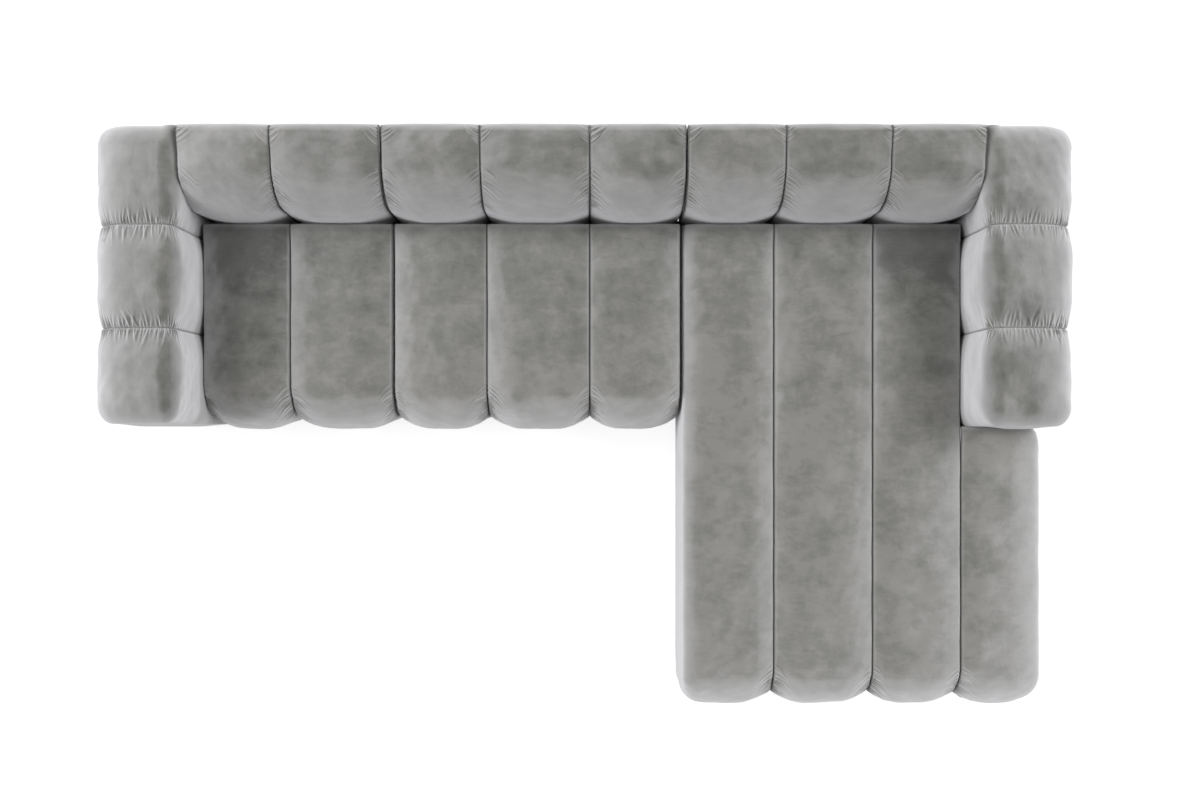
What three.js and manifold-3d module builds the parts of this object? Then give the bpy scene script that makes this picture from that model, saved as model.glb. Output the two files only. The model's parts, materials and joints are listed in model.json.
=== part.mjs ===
// A low modular sectional sofa with a chaise: three upholstered sections that stand side by side and hook
// together under their base frames. Every section is a timber frame under deep, channelled padding that runs
// over the seat, the back and the arms. Units are millimetres and +Z is up. +Y points to the wall behind the
// sofa, and the origin lies on the floor under the middle of the whole sofa.
import * as THREE from "three";
import { mergeVertices } from "three/addons/utils/BufferGeometryUtils.js";
import Module from "manifold-3d";

const wasm = await Module();
wasm.setup();

// Plan of the sofa, from the left arm to the right arm as seen from the front
const LEFT_ARM_WIDTH = 281;
const LEFT_CHANNEL_WIDTHS = [306, 362];
const MIDDLE_CHANNEL_WIDTHS = [327, 360, 320];
const CHAISE_CHANNEL_WIDTHS = [325, 346, 309];
const CHAISE_ARM_WIDTH = 302;
const SOFA_DEPTH = 1002;
const CHAISE_DEPTH = 1991;
const ARM_CHANNEL_DEPTHS = [329, 341];
const ARM_FRONT_SETBACK = 7;
const SECTION_GAP = 6;

// Heights above the floor
const BACK_HEIGHT = 710;
const ARM_HEIGHT = 700;
const SEAT_HEIGHT = 430;
const BASE_FRAME_TOP = 248;
const GROUND_CLEARANCE = 50;

// Padding
const BACK_DEPTH = 285;
const BACK_FRONT_ROUND = 160;
const BACK_FRONT_FALL = 215;
const BACK_REAR_ROUND = 30;
const SEAT_FRONT_ROUND = 195;
const ARM_INNER_ROUND = 60;
const ARM_OUTER_REACH = 150;
const ARM_OUTER_FALL = 110;
const SEAM_DEPTH = 27;
const FRONT_SEAM_DEPTH = 38;
const EDGE_ROUND = 55;
const FRONT_PAD = 70;
const REAR_PAD = 22;
const TOP_PAD = 62;
const ARM_OUTER_PAD = 60;
const ARM_INNER_PAD = 60;
const CHAISE_SIDE_PAD = 30;
const CHAISE_SIDE_SETBACK = 7;
const CHAISE_HEEL_ROUND = 34;
const CHAISE_HEEL_REACH = 80;
const LINING = 4;
const REAR_PULL_SHARE = 0.2;
const ARM_OUTER_PULL_SHARE = 0.6;

// Timber
const RAIL_THICKNESS = 25;
const JOIST_THICKNESS = 25;
const CROSS_RAIL_SPAN = 320;
const ANCHOR_BLOCK_REACH = 90;
const ANCHOR_BLOCK_WIDTH = 80;
const CORNER_BLOCK_SIZE = 62;
const BLOCK_HEIGHT = 40;
const BACK_FRAME_DEPTH = 90;
const BACK_UPRIGHT_WIDTH = 45;
const BACK_RAIL_HEIGHT = 60;
const ARM_RIB_THICKNESS = 18;
const ARM_RIB_BORDER = 40;
const ARM_STRINGER_HEIGHT = 45;

// Webbing, dust cover and feet
const WEBBING_WIDTH = 70;
const WEBBING_THICKNESS = 2;
const CROSS_STRAP_PITCH = 190;
const DUST_COVER_THICKNESS = 1.5;
const DUST_COVER_MARGIN = 8;
const FOOT_TOP_RADIUS = 28;
const FOOT_TOE_RADIUS = 20;
const FOOT_COLLAR_HEIGHT = 8;
const FOOT_PAD_RADIUS = 16;
const FOOT_PAD_HEIGHT = 3;
const FOOT_INSET = 31;

// Connectors under the frames
const CONNECTOR_PLATE = 3;
const CONNECTOR_INSET = 250;
const KEEPER_WIDTH = 70;
const KEEPER_GRIP = 78;
const KEEPER_REACH = 52;
const KEEPER_STEP_START = 6;
const KEEPER_STEP_LENGTH = 8;
const KEEPER_CLEARANCE = 0.8;
const TONGUE_OFFSET = 34;
const TONGUE_WIDTH = 40;
const TONGUE_LENGTH = 24;
const TONGUE_TIP = 6;
const TONGUE_PLAY = 1.5;
const TONGUE_PLATE_REACH = 84;
const SCREW_HOLE_RADIUS = 2.6;
const TONGUE_HOLE_PITCH = 18;
const SCREW_HOLE_PITCH = 40;
const SCREW_HOLE_SETBACK = 12;

// How finely things are drawn, and how they are kept apart
const CONTACT_GAP = 0.3;
const OVERRUN = 40;
const ROUND_STEPS = 3;
const CROWN_STEPS = 5;
const SEAM_CROWN_POWER = 2;
const EDGE_CROWN_POWER = 2;
const FOOT_SIDES = 14;
const HOLE_SIDES = 10;

// Finishes
const velvet = new THREE.MeshStandardMaterial({ color: 0x9a9b98, roughness: 0.9, metalness: 0 });
const timber = new THREE.MeshStandardMaterial({ color: 0xc9a877, roughness: 0.75, metalness: 0 });
const elastic = new THREE.MeshStandardMaterial({ color: 0x2e2d2b, roughness: 0.9, metalness: 0 });
const dustCloth = new THREE.MeshStandardMaterial({ color: 0x1b1b1c, roughness: 1, metalness: 0 });
const blackPlastic = new THREE.MeshStandardMaterial({ color: 0x161616, roughness: 0.5, metalness: 0 });
const zincSteel = new THREE.MeshStandardMaterial({ color: 0xb4b7ba, roughness: 0.4, metalness: 1 });

const sum = (values) => values.reduce((total, value) => total + value, 0);

// Seam places from a first edge and the widths that follow it
function seamsFrom(start, widths) {
  const seams = [start];
  widths.forEach((width) => seams.push(seams.at(-1) + width));
  return seams;
}

// Places in plan that the sections share
const sofaWidth =
  LEFT_ARM_WIDTH +
  sum(LEFT_CHANNEL_WIDTHS) +
  sum(MIDDLE_CHANNEL_WIDTHS) +
  sum(CHAISE_CHANNEL_WIDTHS) +
  CHAISE_ARM_WIDTH;
const leftEdge = -sofaWidth / 2;
const rightEdge = sofaWidth / 2;
const leftSeams = seamsFrom(leftEdge + LEFT_ARM_WIDTH, LEFT_CHANNEL_WIDTHS);
const middleSeams = seamsFrom(leftSeams.at(-1), MIDDLE_CHANNEL_WIDTHS);
const chaiseSeams = seamsFrom(middleSeams.at(-1), CHAISE_CHANNEL_WIDTHS);
const rearY = CHAISE_DEPTH / 2;
const chaiseFrontY = -CHAISE_DEPTH / 2;
const sofaFrontY = rearY - SOFA_DEPTH;
const backFrontY = rearY - BACK_DEPTH;
const armFrontY = sofaFrontY + ARM_FRONT_SETBACK;
const armSeams = [...seamsFrom(rearY, ARM_CHANNEL_DEPTHS.map((depth) => -depth)), armFrontY];
const halfGap = SECTION_GAP / 2;
const connectorRows = {
  rear: rearY - CONNECTOR_INSET,
  front: sofaFrontY + CONNECTOR_INSET,
};

// Levels that the stacked layers share
const webbingBottom = BASE_FRAME_TOP + CONTACT_GAP;
const webbingTop = webbingBottom + WEBBING_THICKNESS;
const seatUnderside = webbingTop + CONTACT_GAP;
const frameFoot = BASE_FRAME_TOP + CONTACT_GAP;
const dustCoverTop = GROUND_CLEARANCE - CONTACT_GAP;
const dustCoverBottom = dustCoverTop - DUST_COVER_THICKNESS;
const footTop = dustCoverBottom - CONTACT_GAP;

// A closed geometry as a manifold solid
function solidFrom(geometry) {
  const bare = geometry.clone();
  bare.deleteAttribute("normal");
  bare.deleteAttribute("uv");
  const merged = mergeVertices(bare);
  return new wasm.Manifold(
    new wasm.Mesh({
      numProp: 3,
      vertProperties: merged.attributes.position.array,
      triVerts: new Uint32Array(merged.index.array),
    }),
  );
}

// A manifold solid as a geometry with flat faces
function geometryFrom(solid) {
  const mesh = solid.getMesh();
  const geometry = new THREE.BufferGeometry();
  geometry.setAttribute("position", new THREE.BufferAttribute(mesh.vertProperties, 3));
  geometry.setIndex(new THREE.BufferAttribute(mesh.triVerts, 1));
  const faceted = geometry.toNonIndexed();
  faceted.computeVertexNormals();
  return faceted;
}

// A box between two corners, whose faces lie exactly where the corners say
function boxBetween([x0, y0, z0], [x1, y1, z1]) {
  const box = new THREE.BoxGeometry();
  const places = box.attributes.position;
  for (let i = 0; i < places.count; i++) {
    const x = places.getX(i) < 0 ? x0 : x1;
    const y = places.getY(i) < 0 ? y0 : y1;
    const z = places.getZ(i) < 0 ? z0 : z1;
    places.setXYZ(i, x, y, z);
  }
  return box;
}

// Several geometries joined into one solid
const joined = (geometries) => geometries.map(solidFrom).reduce((whole, next) => whole.add(next));

// A geometry or solid with others cut out of it
const cutFrom = (solid, cutters) => cutters.reduce((left, cutter) => left.subtract(solidFrom(cutter)), solid);

function named(name, geometry, material) {
  const mesh = new THREE.Mesh(geometry, material);
  mesh.name = name;
  return mesh;
}

// Points of a section outline, each with the way out of the padding and the share of a seam's pull it takes.
// A point that falls on the one before it is left out.
function sectionPoints(path, pullShareAt) {
  const points = path
    .getPoints(ROUND_STEPS)
    .filter((point, i, all) => i === 0 || point.distanceTo(all[i - 1]) > CONTACT_GAP);
  return points.map((point, i) => {
    const before = points[Math.max(i - 1, 0)];
    const after = points[Math.min(i + 1, points.length - 1)];
    const along = after.clone().sub(before).normalize();
    return { point, out: new THREE.Vector2(along.y, -along.x), pull: pullShareAt(point) };
  });
}

// Stations from one end of a channel to its crown: where each lies and how far the padding is drawn in there.
// They follow a quarter of a superellipse, so the padding falls steeply into the seam. mostPull is the largest
// share of that drop that a point of the section takes.
function crownStations({ depth, reach, power, mostPull }) {
  return Array.from({ length: CROWN_STEPS + 1 }, (_, i) => {
    const angle = (i / CROWN_STEPS) * (Math.PI / 2);
    return {
      inward: reach * (1 - Math.cos(angle) ** (2 / power)),
      drop: depth * (1 - Math.sin(angle) ** (2 / power)),
      mostPull,
    };
  });
}

const seamEnd = (reach) => ({ depth: SEAM_DEPTH, reach, power: SEAM_CROWN_POWER, mostPull: Infinity });
const roundedEnd = () => ({ depth: EDGE_ROUND, reach: EDGE_ROUND, power: EDGE_CROWN_POWER, mostPull: 1 });

// A padded block: a section, closed by its corners, carried from one end of a channel to the other and drawn
// in at both. The section lies in YZ for a channel that is measured along X, and in XZ for one along Y.
function paddedBlock({ outline, corners, from, to, startEnd, finishEnd, along }) {
  const start = crownStations(startEnd).map(({ inward, ...station }) => ({ at: from + inward, ...station }));
  const finish = crownStations(finishEnd).map(({ inward, ...station }) => ({ at: to - inward, ...station }));
  const stations = [...start, ...finish.reverse()].filter(
    ({ at }, i, all) => i === 0 || at - all[i - 1].at > CONTACT_GAP,
  );
  const ring = [...outline, ...corners.map((point) => ({ point, out: new THREE.Vector2(), pull: 0 }))];
  const positions = stations.flatMap(({ at, drop, mostPull }) =>
    ring.flatMap(({ point, out, pull }) => {
      const pulledIn = Math.min(pull, mostPull) * drop;
      const u = point.x - out.x * pulledIn;
      const v = point.y - out.y * pulledIn;
      return along === "x" ? [at, u, v] : [u, at, v];
    }),
  );
  const count = ring.length;
  const capAt = (station) => {
    const flat = positions.slice(station * count * 3, (station + 1) * count * 3);
    const inPlane = Array.from({ length: count }, (_, i) =>
      along === "x"
        ? new THREE.Vector2(flat[i * 3 + 1], flat[i * 3 + 2])
        : new THREE.Vector2(flat[i * 3], flat[i * 3 + 2]),
    );
    return THREE.ShapeUtils.triangulateShape(inPlane, []).map((face) => face.map((i) => i + station * count));
  };
  const faces = [];
  for (let s = 0; s < stations.length - 1; s++) {
    for (let i = 0; i < count; i++) {
      const next = (i + 1) % count;
      const [a, b] = [s * count + i, s * count + next];
      const [c, d] = [a + count, b + count];
      faces.push([a, c, b], [b, c, d]);
    }
  }
  capAt(0).forEach((face) => faces.push(face));
  capAt(stations.length - 1).forEach(([a, b, c]) => faces.push([a, c, b]));
  const turned = along === "x" ? faces.map(([a, b, c]) => [a, c, b]) : faces;
  const geometry = new THREE.BufferGeometry();
  geometry.setAttribute("position", new THREE.Float32BufferAttribute(positions, 3));
  geometry.setIndex(turned.flat());
  return geometry;
}

// Seat section: from the back, forwards over the top and down the rounded front. The seams lie deepest on the
// front face.
function seatSection(frontY, heelY) {
  const path = new THREE.Path();
  path.moveTo(heelY, SEAT_HEIGHT);
  path.lineTo(frontY + SEAT_FRONT_ROUND, SEAT_HEIGHT);
  path.absarc(
    frontY + SEAT_FRONT_ROUND,
    SEAT_HEIGHT - SEAT_FRONT_ROUND,
    SEAT_FRONT_ROUND,
    Math.PI / 2,
    Math.PI,
  );
  path.lineTo(frontY, GROUND_CLEARANCE);
  const pullShareAt = ({ x }) => {
    const roundStart = frontY + SEAT_FRONT_ROUND;
    return THREE.MathUtils.mapLinear(Math.min(x, roundStart), roundStart, frontY, 1, FRONT_SEAM_DEPTH / SEAM_DEPTH);
  };
  return {
    outline: sectionPoints(path, pullShareAt),
    corners: [new THREE.Vector2(heelY, GROUND_CLEARANCE)],
  };
}

// What is cut off the rear corner of a channel's free side, so that it rounds in against the face behind it
function heelCorner(x1, heelY) {
  const outline = new THREE.Shape();
  outline.absellipse(
    x1 - CHAISE_HEEL_ROUND,
    heelY - CHAISE_HEEL_REACH,
    CHAISE_HEEL_ROUND,
    CHAISE_HEEL_REACH,
    0,
    Math.PI / 2,
  );
  outline.lineTo(x1 - CHAISE_HEEL_ROUND, heelY + OVERRUN);
  outline.lineTo(x1 + OVERRUN, heelY + OVERRUN);
  outline.lineTo(x1 + OVERRUN, heelY - CHAISE_HEEL_REACH);
  return new THREE.ExtrudeGeometry(outline, {
    depth: SEAT_HEIGHT + OVERRUN,
    bevelEnabled: false,
    curveSegments: 2 * ROUND_STEPS,
  });
}

// One seat channel. Its underside is open to the base frame, and a wall closes each side that needs one.
// cutAway holds any corner that is taken off it.
function seatChannel({ name, x0, x1, frontY, heelY, startEnd, finishEnd, startWall, finishWall, cutAway = [] }) {
  const block = paddedBlock({
    ...seatSection(frontY, heelY),
    from: x0,
    to: x1,
    startEnd,
    finishEnd,
    along: "x",
  });
  const frameSpace = boxBetween(
    [x0 + (startWall || -OVERRUN), frontY + FRONT_PAD, GROUND_CLEARANCE - OVERRUN],
    [x1 - (finishWall || -OVERRUN), heelY + OVERRUN, seatUnderside],
  );
  return named(name, geometryFrom(cutFrom(solidFrom(block), [frameSpace, ...cutAway])), velvet);
}

// Back section: up the flat rear, over the top and down a deep rounded shoulder to the seat
function backSection() {
  const path = new THREE.Path();
  path.moveTo(rearY, GROUND_CLEARANCE);
  path.lineTo(rearY, BACK_HEIGHT - BACK_REAR_ROUND);
  path.absarc(rearY - BACK_REAR_ROUND, BACK_HEIGHT - BACK_REAR_ROUND, BACK_REAR_ROUND, 0, Math.PI / 2);
  path.lineTo(backFrontY + BACK_FRONT_ROUND, BACK_HEIGHT);
  path.absellipse(
    backFrontY + BACK_FRONT_ROUND,
    BACK_HEIGHT - BACK_FRONT_FALL,
    BACK_FRONT_ROUND,
    BACK_FRONT_FALL,
    Math.PI / 2,
    Math.PI,
  );
  path.lineTo(backFrontY, frameFoot);
  const fullPullY = rearY - BACK_DEPTH / 2;
  const pullShareAt = ({ x }) =>
    THREE.MathUtils.mapLinear(Math.max(x, fullPullY), rearY, fullPullY, REAR_PULL_SHARE, 1);
  return {
    outline: sectionPoints(path, pullShareAt),
    corners: [
      new THREE.Vector2(rearY - REAR_PAD, frameFoot),
      new THREE.Vector2(rearY - REAR_PAD, GROUND_CLEARANCE),
    ],
  };
}

// One back channel, hollow where the back frame stands
function backChannel({ name, x0, x1, startWall, finishWall }) {
  const reach = (x1 - x0) / 2;
  const block = paddedBlock({
    ...backSection(),
    from: x0,
    to: x1,
    startEnd: seamEnd(reach),
    finishEnd: seamEnd(reach),
    along: "x",
  });
  const frameSpace = boxBetween(
    [
      x0 + (startWall || -OVERRUN),
      rearY - REAR_PAD - BACK_FRAME_DEPTH - 2 * CONTACT_GAP,
      GROUND_CLEARANCE - OVERRUN,
    ],
    [x1 - (finishWall || -OVERRUN), rearY - REAR_PAD, BACK_HEIGHT - TOP_PAD],
  );
  return named(name, geometryFrom(cutFrom(solidFrom(block), [frameSpace])), velvet);
}

// Arm section: up one side, over the top and down the other. side is -1 for an arm whose outer face looks
// towards -X, and 1 for one that looks towards +X.
function armSection(outerX, innerX, side) {
  const outer = { x: outerX, reach: ARM_OUTER_REACH, fall: ARM_OUTER_FALL };
  const inner = { x: innerX, reach: ARM_INNER_ROUND, fall: ARM_INNER_ROUND };
  const [right, left] = side > 0 ? [outer, inner] : [inner, outer];
  const path = new THREE.Path();
  path.moveTo(right.x, GROUND_CLEARANCE);
  path.lineTo(right.x, ARM_HEIGHT - right.fall);
  path.absellipse(right.x - right.reach, ARM_HEIGHT - right.fall, right.reach, right.fall, 0, Math.PI / 2);
  path.lineTo(left.x + left.reach, ARM_HEIGHT);
  path.absellipse(left.x + left.reach, ARM_HEIGHT - left.fall, left.reach, left.fall, Math.PI / 2, Math.PI);
  path.lineTo(left.x, GROUND_CLEARANCE);
  const pullShareAt = ({ x }) => THREE.MathUtils.mapLinear(x, outerX, innerX, ARM_OUTER_PULL_SHARE, 1);
  return { outline: sectionPoints(path, pullShareAt), corners: [] };
}

// The three channels of an arm, from the rear to the front. The front one has a padded face. The base frame
// runs out under that face where the seat goes on in front of the arm.
function armChannels({ section, outerX, innerX, side, frameRunsOn }) {
  const places = ["rear", "middle", "front"];
  const span = (a, b) => [Math.min(a, b), Math.max(a, b)];
  const [frameX0, frameX1] = span(outerX - side * ARM_OUTER_PAD, innerX + side * ARM_INNER_PAD);
  const [baseX0, baseX1] = span(outerX - side * ARM_OUTER_PAD, innerX - side * OVERRUN);
  return places.map((place, i) => {
    const isRear = i === 0;
    const isFront = i === places.length - 1;
    const y1 = armSeams[i] - (isRear ? 0 : CONTACT_GAP / 2);
    const y0 = armSeams[i + 1] + (isFront ? 0 : CONTACT_GAP / 2);
    const reach = (y1 - y0) / 2;
    const block = paddedBlock({
      ...armSection(outerX, innerX, side),
      from: y0,
      to: y1,
      startEnd: isFront ? roundedEnd() : seamEnd(reach),
      finishEnd: isRear ? roundedEnd() : seamEnd(reach),
      along: "y",
    });
    const spaceY1 = isRear ? y1 - REAR_PAD : y1 + OVERRUN;
    const spaceY0 = isFront ? y0 + FRONT_PAD : y0 - OVERRUN;
    const baseY0 = isFront && !frameRunsOn ? sofaFrontY + FRONT_PAD : y0 - OVERRUN;
    const armSpace = boxBetween(
      [frameX0, spaceY0, BASE_FRAME_TOP - OVERRUN],
      [frameX1, spaceY1, ARM_HEIGHT - TOP_PAD],
    );
    const baseSpace = boxBetween([baseX0, baseY0, GROUND_CLEARANCE - OVERRUN], [baseX1, spaceY1, frameFoot]);
    const solid = cutFrom(solidFrom(block), [armSpace, baseSpace]);
    return named(`${section}_arm_channel_${place}`, geometryFrom(solid), velvet);
  });
}

// The timber outline of a section in plan, inside its padding
function framePlan({ x0, x1, startPad, finishPad, frontY }) {
  return {
    x0: x0 + startPad + CONTACT_GAP,
    x1: x1 - finishPad - CONTACT_GAP,
    y0: frontY + FRONT_PAD + CONTACT_GAP,
    y1: rearY - REAR_PAD - CONTACT_GAP,
  };
}

// Clear spans along a frame, between its two end rails and the boards whose middles are given
function clearSpans(start, end, middles) {
  const half = JOIST_THICKNESS / 2;
  const edges = [
    start + RAIL_THICKNESS,
    ...middles.toSorted((a, b) => a - b).flatMap((middle) => [middle - half, middle + half]),
    end - RAIL_THICKNESS,
  ];
  return edges.filter((_, i) => i % 2 === 0).map((edge, i) => [edge, edges[2 * i + 1]]);
}

// Middles of the rails that stand between two others, evenly and no further apart than their span
function railsBetween(start, end) {
  const count = Math.ceil((end - start) / CROSS_RAIL_SPAN);
  return Array.from({ length: count - 1 }, (_, i) => THREE.MathUtils.lerp(start, end, (i + 1) / count));
}

// Base frame: an outer ring of rails, a joist under each seam, rails across it, and blocks in its corners over
// the feet and beside its connectors. Joists run along Y and cross rails along X. anchorSides holds -1 or 1 for
// each side that hooks on to a neighbour. The bays between the boards are cut out of one block.
function baseFrame({ name, plan, joists, crossRails, anchorSides }) {
  const { x0, x1, y0, y1 } = plan;
  const bays = clearSpans(x0, x1, joists).flatMap(([left, right]) =>
    clearSpans(y0, y1, crossRails).map(([front, back]) =>
      boxBetween([left, front, GROUND_CLEARANCE - OVERRUN], [right, back, BASE_FRAME_TOP + OVERRUN]),
    ),
  );
  const blockAt = (left, front, width, depth) =>
    boxBetween(
      [left, front, GROUND_CLEARANCE - OVERRUN],
      [left + width, front + depth, GROUND_CLEARANCE + BLOCK_HEIGHT],
    );
  const cornerBlocks = [x0, x1 - CORNER_BLOCK_SIZE].flatMap((left) =>
    [y0, y1 - CORNER_BLOCK_SIZE].map((front) =>
      blockAt(left, front, CORNER_BLOCK_SIZE, CORNER_BLOCK_SIZE),
    ),
  );
  const anchorBlocks = anchorSides.flatMap((way) =>
    Object.values(connectorRows).map((y) =>
      blockAt(
        way > 0 ? x1 - ANCHOR_BLOCK_REACH : x0,
        y - ANCHOR_BLOCK_WIDTH / 2,
        ANCHOR_BLOCK_REACH,
        ANCHOR_BLOCK_WIDTH,
      ),
    ),
  );
  const space = cutFrom(joined(bays), [...cornerBlocks, ...anchorBlocks]);
  const block = solidFrom(boxBetween([x0, y0, GROUND_CLEARANCE], [x1, y1, BASE_FRAME_TOP]));
  return named(name, geometryFrom(block.subtract(space)), timber);
}

// Back frame: a ladder with an upright at each end and behind each seam, and three rails across it
function backFrame({ name, x0, x1, seams }) {
  const y1 = rearY - REAR_PAD - CONTACT_GAP;
  const y0 = y1 - BACK_FRAME_DEPTH;
  const top = BACK_HEIGHT - TOP_PAD - CONTACT_GAP;
  const half = BACK_UPRIGHT_WIDTH / 2;
  const midRail = (frameFoot + top - BACK_RAIL_HEIGHT) / 2;
  const post = (left) => boxBetween([left, y0, frameFoot], [left + BACK_UPRIGHT_WIDTH, y1, top]);
  const rail = (bottom) => boxBetween([x0, y0, bottom], [x1, y0 + RAIL_THICKNESS, bottom + BACK_RAIL_HEIGHT]);
  const capRail = boxBetween([x0, y0, top - RAIL_THICKNESS], [x1, y1, top]);
  const pieces = [
    post(x0),
    post(x1 - BACK_UPRIGHT_WIDTH),
    ...seams.map((x) => post(x - half)),
    rail(frameFoot),
    rail(midRail),
    capRail,
  ];
  return named(name, geometryFrom(joined(pieces)), timber);
}

// Arm frame: plywood ribs at its ends and under its seams, with a window in each, stringers along the top and
// the foot, and a top board
function armFrame({ name, outerX, innerX, side }) {
  const a = outerX - side * (ARM_OUTER_PAD + CONTACT_GAP);
  const b = innerX + side * (ARM_INNER_PAD + CONTACT_GAP);
  const [x0, x1] = [Math.min(a, b), Math.max(a, b)];
  const y0 = armFrontY + FRONT_PAD + CONTACT_GAP;
  const y1 = rearY - REAR_PAD - CONTACT_GAP;
  const top = ARM_HEIGHT - TOP_PAD - CONTACT_GAP;
  const half = ARM_RIB_THICKNESS / 2;
  const ribMiddles = [y0 + half, ...armSeams.slice(1, -1), y1 - half];
  const pieces = [
    boxBetween([x0, y0, top - ARM_RIB_THICKNESS], [x1, y1, top]),
    ...ribMiddles.map((y) => boxBetween([x0, y - half, frameFoot], [x1, y + half, top])),
  ];
  for (const left of [x0, x1 - ARM_RIB_THICKNESS]) {
    for (const bottom of [frameFoot, top - ARM_STRINGER_HEIGHT]) {
      pieces.push(
        boxBetween([left, y0, bottom], [left + ARM_RIB_THICKNESS, y1, bottom + ARM_STRINGER_HEIGHT]),
      );
    }
  }
  const window = boxBetween(
    [x0 + ARM_RIB_BORDER, y0 - OVERRUN, frameFoot + ARM_STRINGER_HEIGHT + ARM_RIB_BORDER],
    [x1 - ARM_RIB_BORDER, y1 + OVERRUN, top - ARM_STRINGER_HEIGHT - ARM_RIB_BORDER],
  );
  return named(name, geometryFrom(cutFrom(joined(pieces), [window])), timber);
}

// Openings between straps along one side of a mat, given the middles of the straps. The first and last openings
// run out past the mat, so the straps end as loose tails on the rails.
function strapGaps(start, end, middles) {
  const half = WEBBING_WIDTH / 2;
  const edges = [start - OVERRUN, ...middles.flatMap((middle) => [middle - half, middle + half]), end + OVERRUN];
  return edges.filter((_, i) => i % 2 === 0).map((edge, i) => [edge, edges[2 * i + 1]]);
}

// Middles of straps laid at an even pitch
function strapPlaces(start, end) {
  const count = Math.round((end - start) / CROSS_STRAP_PITCH);
  return Array.from({ length: count }, (_, i) => THREE.MathUtils.lerp(start, end, (i + 0.5) / count));
}

// Seat webbing: straps from front to rear under the middle of each channel, crossed by straps at an even
// pitch. The gaps are cut out of a sheet, and cutAway holds any stretch that the seat doesn't cover.
function seatWebbing({ name, x0, x1, y0, y1, middles, crossPlaces, cutAway }) {
  const sheet = solidFrom(boxBetween([x0, y0, webbingBottom], [x1, y1, webbingTop]));
  const gaps = strapGaps(x0, x1, middles).flatMap(([left, right]) =>
    strapGaps(y0, y1, crossPlaces).map(([front, back]) =>
      boxBetween([left, front, webbingBottom - OVERRUN], [right, back, webbingTop + OVERRUN]),
    ),
  );
  return named(name, geometryFrom(sheet.subtract(joined([...cutAway, ...gaps]))), elastic);
}

// Dust cover, stapled under the base frame
function dustCover({ name, plan }) {
  return named(
    name,
    boxBetween(
      [plan.x0 + DUST_COVER_MARGIN, plan.y0 + DUST_COVER_MARGIN, dustCoverBottom],
      [plan.x1 - DUST_COVER_MARGIN, plan.y1 - DUST_COVER_MARGIN, dustCoverTop],
    ),
    dustCloth,
  );
}

// Moulded foot: a collar under the frame, a tapering leg and a felt-sized toe
function foot({ name, x, y }) {
  const profile = [
    new THREE.Vector2(0, 0),
    new THREE.Vector2(FOOT_PAD_RADIUS, 0),
    new THREE.Vector2(FOOT_PAD_RADIUS, FOOT_PAD_HEIGHT),
    new THREE.Vector2(FOOT_TOE_RADIUS, FOOT_PAD_HEIGHT),
    new THREE.Vector2(FOOT_TOP_RADIUS, footTop - FOOT_COLLAR_HEIGHT),
    new THREE.Vector2(FOOT_TOP_RADIUS, footTop),
    new THREE.Vector2(0, footTop),
  ];
  const mesh = named(name, new THREE.LatheGeometry(profile, FOOT_SIDES).rotateX(Math.PI / 2), blackPlastic);
  mesh.position.set(x, y, 0);
  return mesh;
}

// A pair of feet in each row. The rows at the ends stand under the corner blocks.
function feet({ section, plan, middleRows }) {
  const rows = { rear: plan.y1 - FOOT_INSET, ...middleRows, front: plan.y0 + FOOT_INSET };
  return Object.entries(rows).flatMap(([row, y]) => [
    foot({ name: `${section}_foot_${row}_left`, x: plan.x0 + FOOT_INSET, y }),
    foot({ name: `${section}_foot_${row}_right`, x: plan.x1 - FOOT_INSET, y }),
  ]);
}

// A pressed plate: its edge drawn in XZ, carried along Y, with screw holes down through its flange
function pressedPlate({ edge, width, y, holes }) {
  const plate = new THREE.ExtrudeGeometry(new THREE.Shape(edge), { depth: width, bevelEnabled: false })
    .rotateX(Math.PI / 2)
    .translate(0, y + width / 2, 0);
  const drills = holes.map((hole) =>
    new THREE.CylinderGeometry(SCREW_HOLE_RADIUS, SCREW_HOLE_RADIUS, OVERRUN, HOLE_SIDES)
      .rotateX(Math.PI / 2)
      .translate(hole.x, hole.y, footTop),
  );
  return cutFrom(solidFrom(plate), drills);
}

// Edge points run anticlockwise in XZ, also where a plate is turned to face the other way
const facing = (way, points) => (way > 0 ? points : [...points].reverse());

// Keeper plate of the middle section. It steps down and reaches under the next section, where a slot takes
// the tongue. way is the side of the middle section that it looks to.
function keeperPlate({ name, boundary, way, y }) {
  const at = (reach, level) => new THREE.Vector2(boundary + way * reach, level);
  const step = CONNECTOR_PLATE + KEEPER_CLEARANCE;
  const flangeBottom = footTop - CONNECTOR_PLATE;
  const edge = facing(way, [
    at(-KEEPER_GRIP, flangeBottom),
    at(-KEEPER_STEP_START - KEEPER_STEP_LENGTH, flangeBottom),
    at(-KEEPER_STEP_START, flangeBottom - step),
    at(KEEPER_REACH, flangeBottom - step),
    at(KEEPER_REACH, footTop - step),
    at(-KEEPER_STEP_START, footTop - step),
    at(-KEEPER_STEP_START - KEEPER_STEP_LENGTH, footTop),
    at(-KEEPER_GRIP, footTop),
  ]);
  const holes = [-1, 1].map((side) => ({
    x: boundary - way * (KEEPER_GRIP - SCREW_HOLE_SETBACK),
    y: y + (side * SCREW_HOLE_PITCH) / 2,
  }));
  const plate = pressedPlate({ edge, width: KEEPER_WIDTH, y, holes });
  const slotMiddle = boundary + way * TONGUE_OFFSET;
  const slotHalfX = CONNECTOR_PLATE / 2 + TONGUE_PLAY;
  const slotHalfY = TONGUE_WIDTH / 2 + TONGUE_PLAY;
  const slot = boxBetween(
    [slotMiddle - slotHalfX, y - slotHalfY, footTop - OVERRUN],
    [slotMiddle + slotHalfX, y + slotHalfY, footTop],
  );
  return named(name, geometryFrom(cutFrom(plate, [slot])), zincSteel);
}

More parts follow.
